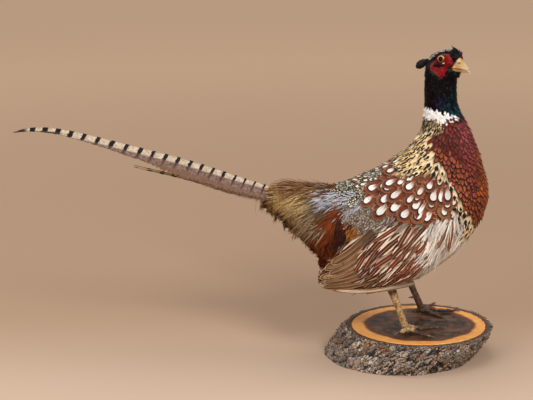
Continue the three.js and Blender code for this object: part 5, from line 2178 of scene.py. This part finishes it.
    def fringe(self, sheet: Array, maps: Array, generator: np.random.Generator, start: int) -> tuple:
        """Makes loose barbs along a vane's outer edge.

        Args:
            sheet: the vane's upper points.
            maps: their places on the vane.
            generator: the source of chance.
            start: the first number that the new points get.

        Returns:
            The barbs' points, places and faces.
        """
        rows, columns = sheet.shape[:2]
        picks = np.sort(generator.choice(np.arange(4, rows - 12), min(rows - 16, 200), replace=False))
        edge, inner = sheet[picks, -1], sheet[picks, -3]
        out = unit(edge - inner)
        back = unit(sheet[picks + 2, -1] - sheet[picks, -1])
        share = picks / rows
        reach = (2.0 + 7.5 * generator.random(len(picks))) * np.interp(share, (0, 0.1, 0.3, 0.5, 0.75, 1),
                                                                       (1.6, 1.6, 1.0, 0.4, 0.2, 0.1))
        way = unit(back + out * generator.uniform(0.25, 0.75, (len(picks), 1)))
        tip = edge + way * reach[:, None]
        middle = (edge + tip) / 2 + out * (0.12 * reach)[:, None]
        wide = back * 0.42
        points = np.stack((edge - out * 0.8 - wide, edge - out * 0.8 + wide, middle + wide * 0.7,
                           middle - wide * 0.7,
                           tip + wide * 0.2, tip - wide * 0.2), 1)
        number = start + 6 * np.arange(len(picks))[:, None]
        quads = np.vstack((number + np.array((0, 1, 2, 3)), number + np.array((3, 2, 4, 5))))
        own = maps[:rows * columns].reshape(rows, columns, 2)[picks, -1]
        return points.reshape(-1, 3), np.repeat(own, 6, 0), quads

    @staticmethod
    def join(name: str, points: Array, maps: Array, quads: Array) -> Piece:
        """Makes a mesh from points, in mm, their places on the vane and faces."""
        piece = Bench.weave(name, points, quads.tolist())
        layer = piece.data.uv_layers.new(name=Coat.VANE_MAP)
        layer.uv.foreach_set("vector", maps[quads.ravel()].ravel())
        return piece

    def finish(self, spotted: bool) -> Material:
        """Makes the barred vane: cream beside the shaft and mauve outside, or all olive with spots.

        Args:
            spotted: True for the lowest, olive pair.

        Returns:
            The material.
        """
        graph = Graph("tail_vane_spotted" if spotted else "tail_vane", 0.55, Specular_IOR_Level=0.15)
        across, along = graph.flat()
        out = across * self.widest
        phase = along * self.bars_all - self.bars_before
        grain = graph.noise(260.0, 4.0)
        slanted = phase + out * -0.01
        slanted = slanted + (grain * 0.22 - 0.11)
        cycle = abs(graph.math("FRACT", slanted + 0.5) - 0.5)
        tip = graph.step(phase, 15.0, 19.5)
        end = graph.step(phase, 20.2, 20.8)
        if spotted:
            blotch = graph.noise(210.0, 2.0) * -0.7 + cycle
            spot = 1.0 - graph.step(blotch, -0.22, -0.12)
            base = graph.mix(grain, (0.2, 0.12, 0.04), (0.42, 0.29, 0.11))
            graph.colour(graph.mix(spot, base, (0.02, 0.016, 0.012)))
            return graph.material
        lines = graph.math("SINE", (phase + out * -0.06) * 44.0)
        barb = lines * 0.5 + 0.5
        cream_width = graph.step(phase, 1.0, 7.0) * 3.5 + 7.5
        edge = out + (grain * 4.0 - 2.0)
        mauve = graph.step(edge - cream_width, -1.2, 1.6)
        mauve = mauve * (1.0 - tip)
        cream = graph.fade(grain, 0.3, 0.7, (0.4, 0.3, 0.21), (0.64, 0.53, 0.41))
        lilac = graph.fade(grain, 0.3, 0.7, (0.1, 0.062, 0.05), (0.27, 0.185, 0.165))
        lilac = graph.mix(barb * 0.35, lilac, (0.15, 0.085, 0.06))
        rust = graph.step(out, 16.0, 26.0) * 0.7
        lilac = graph.mix(rust, lilac, (0.17, 0.08, 0.036))
        ground = graph.mix(mauve, cream, lilac)
        broad = graph.step(phase, 0.0, 9.0) * 0.05 + 0.095
        broad = tip * 0.09 + broad
        block = 1.0 - graph.step(cycle - broad, -0.02, 0.03)
        thin = 1.0 - graph.step(cycle, 0.05, 0.15)
        dark = graph.mix(mauve, (0.006, 0.005, 0.005), (0.085, 0.03, 0.014))
        thin = thin * (0.95 - graph.step(out, 15.0, 26.0))
        share = graph.value("Mix", {0: mauve, 2: block, 3: graph.math("MAXIMUM", thin, 0.0)})
        barred = graph.mix(share, ground, dark)
        lower = graph.step(out, 5.5, 8.0) * graph.step(phase, 17.0, 18.5)
        barred = graph.mix(lower, barred, (0.05, 0.035, 0.028))
        barred = graph.mix(end, barred, (0.03, 0.022, 0.018))
        shaft = 1.0 - graph.step(out, 1.0, 1.9)
        shaft = shaft * (1.0 - share)
        graph.colour(graph.mix(shaft * 0.5, barred, (0.36, 0.24, 0.14)))
        graph.bump(barb, 0.15 * MM, 0.6)
        return graph.material


# ------------------------------------------------------------------ legs


@dataclass
class Legs:
    """The scaly shanks, toes, claws and spurs. Sizes are in mm."""

    ankles: dict[str, Point] = field(default_factory=lambda: {
        "right": (-12.0, -46.5, 59.0), "left": (24.0, 47.0, 59.0)})
    hocks: dict[str, Point] = field(default_factory=lambda: {
        "right": (-39.0, -43.0, 123.0), "left": (-8.0, 43.0, 123.0)})
    scute: float = 4.3
    stout: float = 0.65
    toe_scute: float = 2.7
    shank_scale: float = 2.3
    toe_scale: float = 1.9
    face: float = 0.75
    claw_face: float = 0.4

    def build(self) -> None:
        """Makes both legs."""
        skin, horn = self.scale_finish(), self.claw_finish()
        for side in SIDES:
            self.make_shank(side, skin)
            self.make_foot(side, skin)
            claws = ["claw_%s_%s" % (toe, side) for toe in ("inner", "middle", "outer", "hind")]
            for node in ("spur_" + side, *claws):
                self.make_claw(node, horn)

    def start(self, node: str) -> Piece:
        """Copies a node of the leg as a fine, smooth mesh."""
        piece = Bench.copy_nodes("scaled_" + node, (node,))
        Bench.melt(piece, self.face, 5)
        return piece

    def make_shank(self, side: str, material: Material) -> None:
        """Makes a shank with broad plates in front and small scales behind."""
        piece = self.start("shank_" + side)
        points = read_points(piece)
        low, top = np.array(self.ankles[side]), np.array(self.hocks[side])
        axis = unit(top - low)
        offset = points - low
        rise = offset @ axis
        radial = offset - rise[:, None] * axis
        front = unit(np.array((1.0, 0.0, 0.0)) - axis[0] * axis)
        beside = np.cross(axis, front)
        turn = np.arctan2(radial @ beside, radial @ front)
        plate = (rise + 0.9 * np.cos(2 * turn) + np.where(turn > 0, self.scute / 2, 0)) / self.scute % 1.0
        groove = np.minimum(plate, 1 - plate) * self.scute / 0.8
        seam = np.abs(turn) / 0.1
        plates = np.minimum(ease(groove, 0, 1), ease(seam, 0, 1))
        small, luck = cells(points, self.shank_scale, 9, (1.0, 1.0, 0.8))
        ahead = ease(-np.abs(turn), -1.75, -1.45)
        scale = plates * ahead + ease(small, 0.05, 0.4) * (1 - ahead)
        push(piece, 0.62 * scale + self.stout + 0.35 * ahead * (0.5 - plate))
        label(piece, Scale=scale, Luck=luck)
        # painted shade: the far (left) shank is made darker all over
        label(piece, Dark=ease(rise, 52, 64) * 0.8 + (0.7 + 0.3 * ease(rise, 42, 8)) * (side == "left"))
        Bench.finish(piece, "leg_scales", material, "shank_" + side)

    def make_foot(self, side: str, material: Material) -> None:
        """Makes a foot with plates across the tops of its toes."""
        piece = self.start("foot_" + side)
        points = read_points(piece)
        normals = read_normals(piece)
        offset = points - np.array(self.ankles[side])
        reach = np.linalg.norm(offset[:, :2], axis=1)
        plate = reach / self.toe_scute % 1.0
        groove = ease(np.minimum(plate, 1 - plate) * self.toe_scute / 0.6, 0, 1)
        small, luck = cells(points, self.toe_scale, 12)
        top = ease(normals[:, 2], -0.1, 0.35) * ease(reach, 6, 11)
        scale = groove * top + ease(small, 0.05, 0.4) * (1 - top)
        above_floor = ease(points[:, 2], 48.4, 50.0)
        knots = np.sin(reach / 3.9) ** 2 * ease(reach, 8, 14)
        taper = 0.35 * ease(reach, 26, 6) - 0.1 - 1.3 * ease(reach, 9, 16)
        push(piece, (0.7 * scale + 0.9 * knots + taper) * above_floor)
        label(piece, Scale=scale, Luck=luck)
        # painted shade: the far (left) foot is made darker all over; the toes darkening towards their tips is
        # their own colour
        label(piece, Dark=0.8 * (side == "left") + 0.1 + 0.9 * ease(reach, 7, 22))
        Bench.finish(piece, "leg_scales", material, "foot_" + side)

    def make_claw(self, node: str, material: Material) -> None:
        """Makes a claw or spur, rounded and tapering."""
        piece = Bench.copy_nodes("horn_" + node, (node,))
        Bench.melt(piece, self.claw_face, 4)
        Bench.finish(piece, "claw_horn", material, node)

    @staticmethod
    def scale_finish() -> Material:
        """Makes the horny scales, straw yellow above and dark on the toes, with brown seams and painted shade
        darkening the far leg.
        """
        graph = Graph("leg_scale", 0.45, Coat_Weight=0.12, Coat_Roughness=0.3)
        scale = graph.read("Scale")
        luck = graph.read("Luck")
        dark = graph.read("Dark")
        stain = graph.noise(180.0, 4.0)
        straw = graph.mix(luck, (0.36, 0.205, 0.075), (0.66, 0.46, 0.24))
        straw = graph.fade(stain, 0.52, 0.64, straw, (0.2, 0.09, 0.03))
        brown = graph.mix(luck, (0.03, 0.013, 0.007), (0.125, 0.06, 0.032))
        brown = graph.fade(stain, 0.56, 0.68, brown, (0.27, 0.155, 0.085))
        body = graph.fade(dark + (stain * 0.5 - 0.25), 0.3, 0.75, straw, brown)
        graph.colour(graph.fade(scale, 0.0, 0.35, (0.06, 0.028, 0.012), body))
        graph.bump(graph.noise(1400.0, 3.0), 0.15 * MM, 0.6)
        return graph.material

    @staticmethod
    def claw_finish() -> Material:
        """Makes the dark horn of claws and spurs, with fine lines of growth."""
        graph = Graph("claw_horn", 0.32, Coat_Weight=0.2, Coat_Roughness=0.25)
        lines = graph.noise(900.0, 3.0, stretch=(0.3, 0.3, 1.0))
        graph.colour(graph.fade(lines, 0.3, 0.7, (0.03, 0.017, 0.01), (0.2, 0.125, 0.078)))
        graph.bump(lines, 0.08 * MM)
        return graph.material


# ------------------------------------------------------------------ log slice


@dataclass
class Log:
    """The slice of log: sawn wood with its rings, inside a collar of plated bark. Sizes are in mm."""

    height: float = 48.0
    top_centre: tuple[float, float] = (11.5, -6.5)
    half_length: float = 121.0
    half_depth: float = 104.0
    bark: float = 11.0
    turn: float = 5.0
    lean: float = 33.0
    heart: float = 0.715
    wood_face: float = 2.4
    bark_face: float = 1.45
    plates: float = 11.0
    flakes: float = 4.6
    grains: float = 2.8

    def build(self) -> None:
        """Makes the wood and the bark."""
        self.make_wood()
        self.make_bark()

    def flat(self, points: Array) -> Array:
        """Finds how far out places are from the log's own leaning axis.

        Args:
            points: places, in mm.

        Returns:
            The share of the way out to the bark's outer edge.
        """
        shift = self.lean * (points[:, 2] / self.height - 1)
        turn = math.radians(self.turn)
        x, y = points[:, 0] - self.top_centre[0] - shift, points[:, 1] - self.top_centre[1]
        u = (x * math.cos(turn) + y * math.sin(turn)) / self.half_length
        v = (y * math.cos(turn) - x * math.sin(turn)) / self.half_depth
        return np.hypot(u, v)

    def make_wood(self) -> None:
        """Makes the sawn wood, slightly sunk and wavy on top where the saw and the drying left it."""
        piece = Bench.copy_nodes("sawn_wood", ("base_wood",))
        Bench.melt(piece, self.wood_face, 1)
        points = read_points(piece)
        label(piece, Out=self.flat(points))
        graph = Graph("sawn_heartwood", 0.42, Coat_Weight=0.25, Coat_Roughness=0.28)
        out = graph.read("Out")
        warp = graph.noise(14.0, 4.0)
        wavy = out + (warp * 0.13 - 0.065)
        rings = graph.math("SINE", wavy * 190.0)
        fine = graph.noise(90.0, 5.0)
        heart = graph.fade(fine, 0.36, 0.64, (0.022, 0.009, 0.005), (0.175, 0.082, 0.043))
        heart = graph.mix(rings * 0.22 + 0.22, heart, (0.015, 0.008, 0.005))
        light = graph.noise(34.0, 5.0, stretch=(0.45, 2.2, 1.0))
        heart = graph.mix(graph.step(light, 0.48, 0.64) * 0.7, heart, (0.23, 0.105, 0.057))
        sap = graph.fade(fine, 0.25, 0.75, (1.0, 0.365, 0.07), (1.0, 0.52, 0.135))
        sap = graph.mix(rings * 0.1 + 0.1, sap, (0.62, 0.22, 0.055))
        border = out + (graph.noise(26.0, 4.0) * 0.16 - 0.08)
        ring = graph.fade(border, self.heart - 0.06, self.heart - 0.01, heart, (0.13, 0.034, 0.012))
        wood = graph.fade(border, self.heart, self.heart + 0.06, ring, sap)
        graph.colour(wood)
        graph.rough(fine * 0.25 + 0.3)
        saw = graph.noise(60.0, 2.0, stretch=(8.0, 0.6, 1.0))
        graph.bump(saw + rings * 0.2, 0.35 * MM, 0.6)
        Bench.finish(piece, "log_wood", graph.material, "base_wood")

    def make_bark(self) -> None:
        """Makes the bark, with plates parted by deep cracks, which are painted near black as shade."""
        piece = Bench.copy_nodes("plated_bark", ("base_bark",))
        Bench.melt(piece, self.bark_face, 3)
        points = read_points(piece)
        share = self.flat(points)
        sheared = points - np.outer(points[:, 2] / self.height - 1, (self.lean, 0.0, 0.0))
        warp = np.stack([np.sin(sheared @ np.array(way) / 6.0) for way in ((1, 2, 1), (2, -1, 1),
                                                                           (-1, 1, 2))], 1)
        slanted = sheared - np.outer(points[:, 2], (0.7, 0.0, 0.0))
        broad, luck = cells(slanted + 2.6 * warp, self.plates, 3, (1.0, 1.0, 0.5))
        small, flake = cells(sheared + 1.2 * warp, self.flakes, 4, (1.0, 1.0, 0.85))
        fine, _ = cells(sheared, self.grains, 6)
        inner = (self.half_length - self.bark) / self.half_length
        rim = 0.75 * ease(share, 0.955, 0.99)
        edge = np.maximum(ease(points[:, 2], 47.6, 45.0), rim) * ease(points[:, 2], 0.4, 3.0)
        outside = ease(share, inner + 0.035, inner + 0.07) * edge
        crack = ease(broad, 0.0, 0.24 + 0.2 * (flake - 0.5))
        height = 3.4 * crack + 3.0 * ease(small, 0.0, 0.4) * (0.2 + flake) + 1.3 * fine + 3.0 * (luck - 0.5)
        push(piece, (height - 6.0) * outside)
        pushed = read_points(piece)
        pushed[:, 2] = np.maximum(pushed[:, 2], 0.0)
        piece.data.vertices.foreach_set("co", (pushed * MM).ravel())
        label(piece, Crack=crack, Flake=flake, Plate=luck)
        label(piece, Sawn=(1 - ease(points[:, 2], 47.4, 44.6)) * (1 - ease(share + 0.04 * luck, 0.965, 1.0)))
        graph = Graph("plated_bark", 0.6, Specular_IOR_Level=0.6)
        crack = graph.read("Crack")
        plate = graph.read("Plate")
        flake = graph.read("Flake")
        sawn = graph.read("Sawn")
        coarse = graph.noise(55.0, 5.0)
        fine = graph.noise(420.0, 4.0)
        grey = graph.fade(fine, 0.35, 0.65, (0.085, 0.058, 0.042), (0.96, 0.8, 0.66))
        grey = graph.mix(flake * 0.5, grey, (0.15, 0.105, 0.075))
        rust = graph.fade(fine, 0.35, 0.65, (0.13, 0.042, 0.013), (0.74, 0.33, 0.12))
        patchy = graph.step(coarse, 0.46, 0.6) * graph.step(flake, 0.3, 0.55)
        top = graph.mix(patchy * 0.8, grey, rust)
        top = graph.mix(graph.step(plate, 0.35, 0.65) * 0.55, top, (0.075, 0.052, 0.04))
        worn = graph.step(graph.noise(30.0, 4.0), 0.56, 0.42) * 0.35
        top = graph.mix(worn, top, (0.055, 0.036, 0.026))
        # painted shade: the cracks are coloured near black
        bark = graph.fade(crack, 0.1, 0.72, (0.008, 0.006, 0.005), top)
        cut = graph.mix(graph.noise(130.0, 5.0), (0.045, 0.022, 0.013), (0.16, 0.085, 0.05))
        graph.colour(graph.mix(sawn, bark, cut))
        graph.bump(fine + graph.noise(160.0, 4.0), 0.9 * MM, 0.9)
        Bench.finish(piece, "log_bark", graph.material, "base_bark")


def main() -> None:
    """Builds the studio and the bird, piece by piece."""
    logging.basicConfig(level=logging.INFO, format="%(name)s %(message)s")
    Studio().build()
    skin = Skin()
    skin.build()
    coat = Coat(skin)
    coat.build()
    skin.dress(coat)
    Face().build(skin)
    Tail().build()
    Legs().build()
    Log().build()


if __name__ == "__main__":
    main()
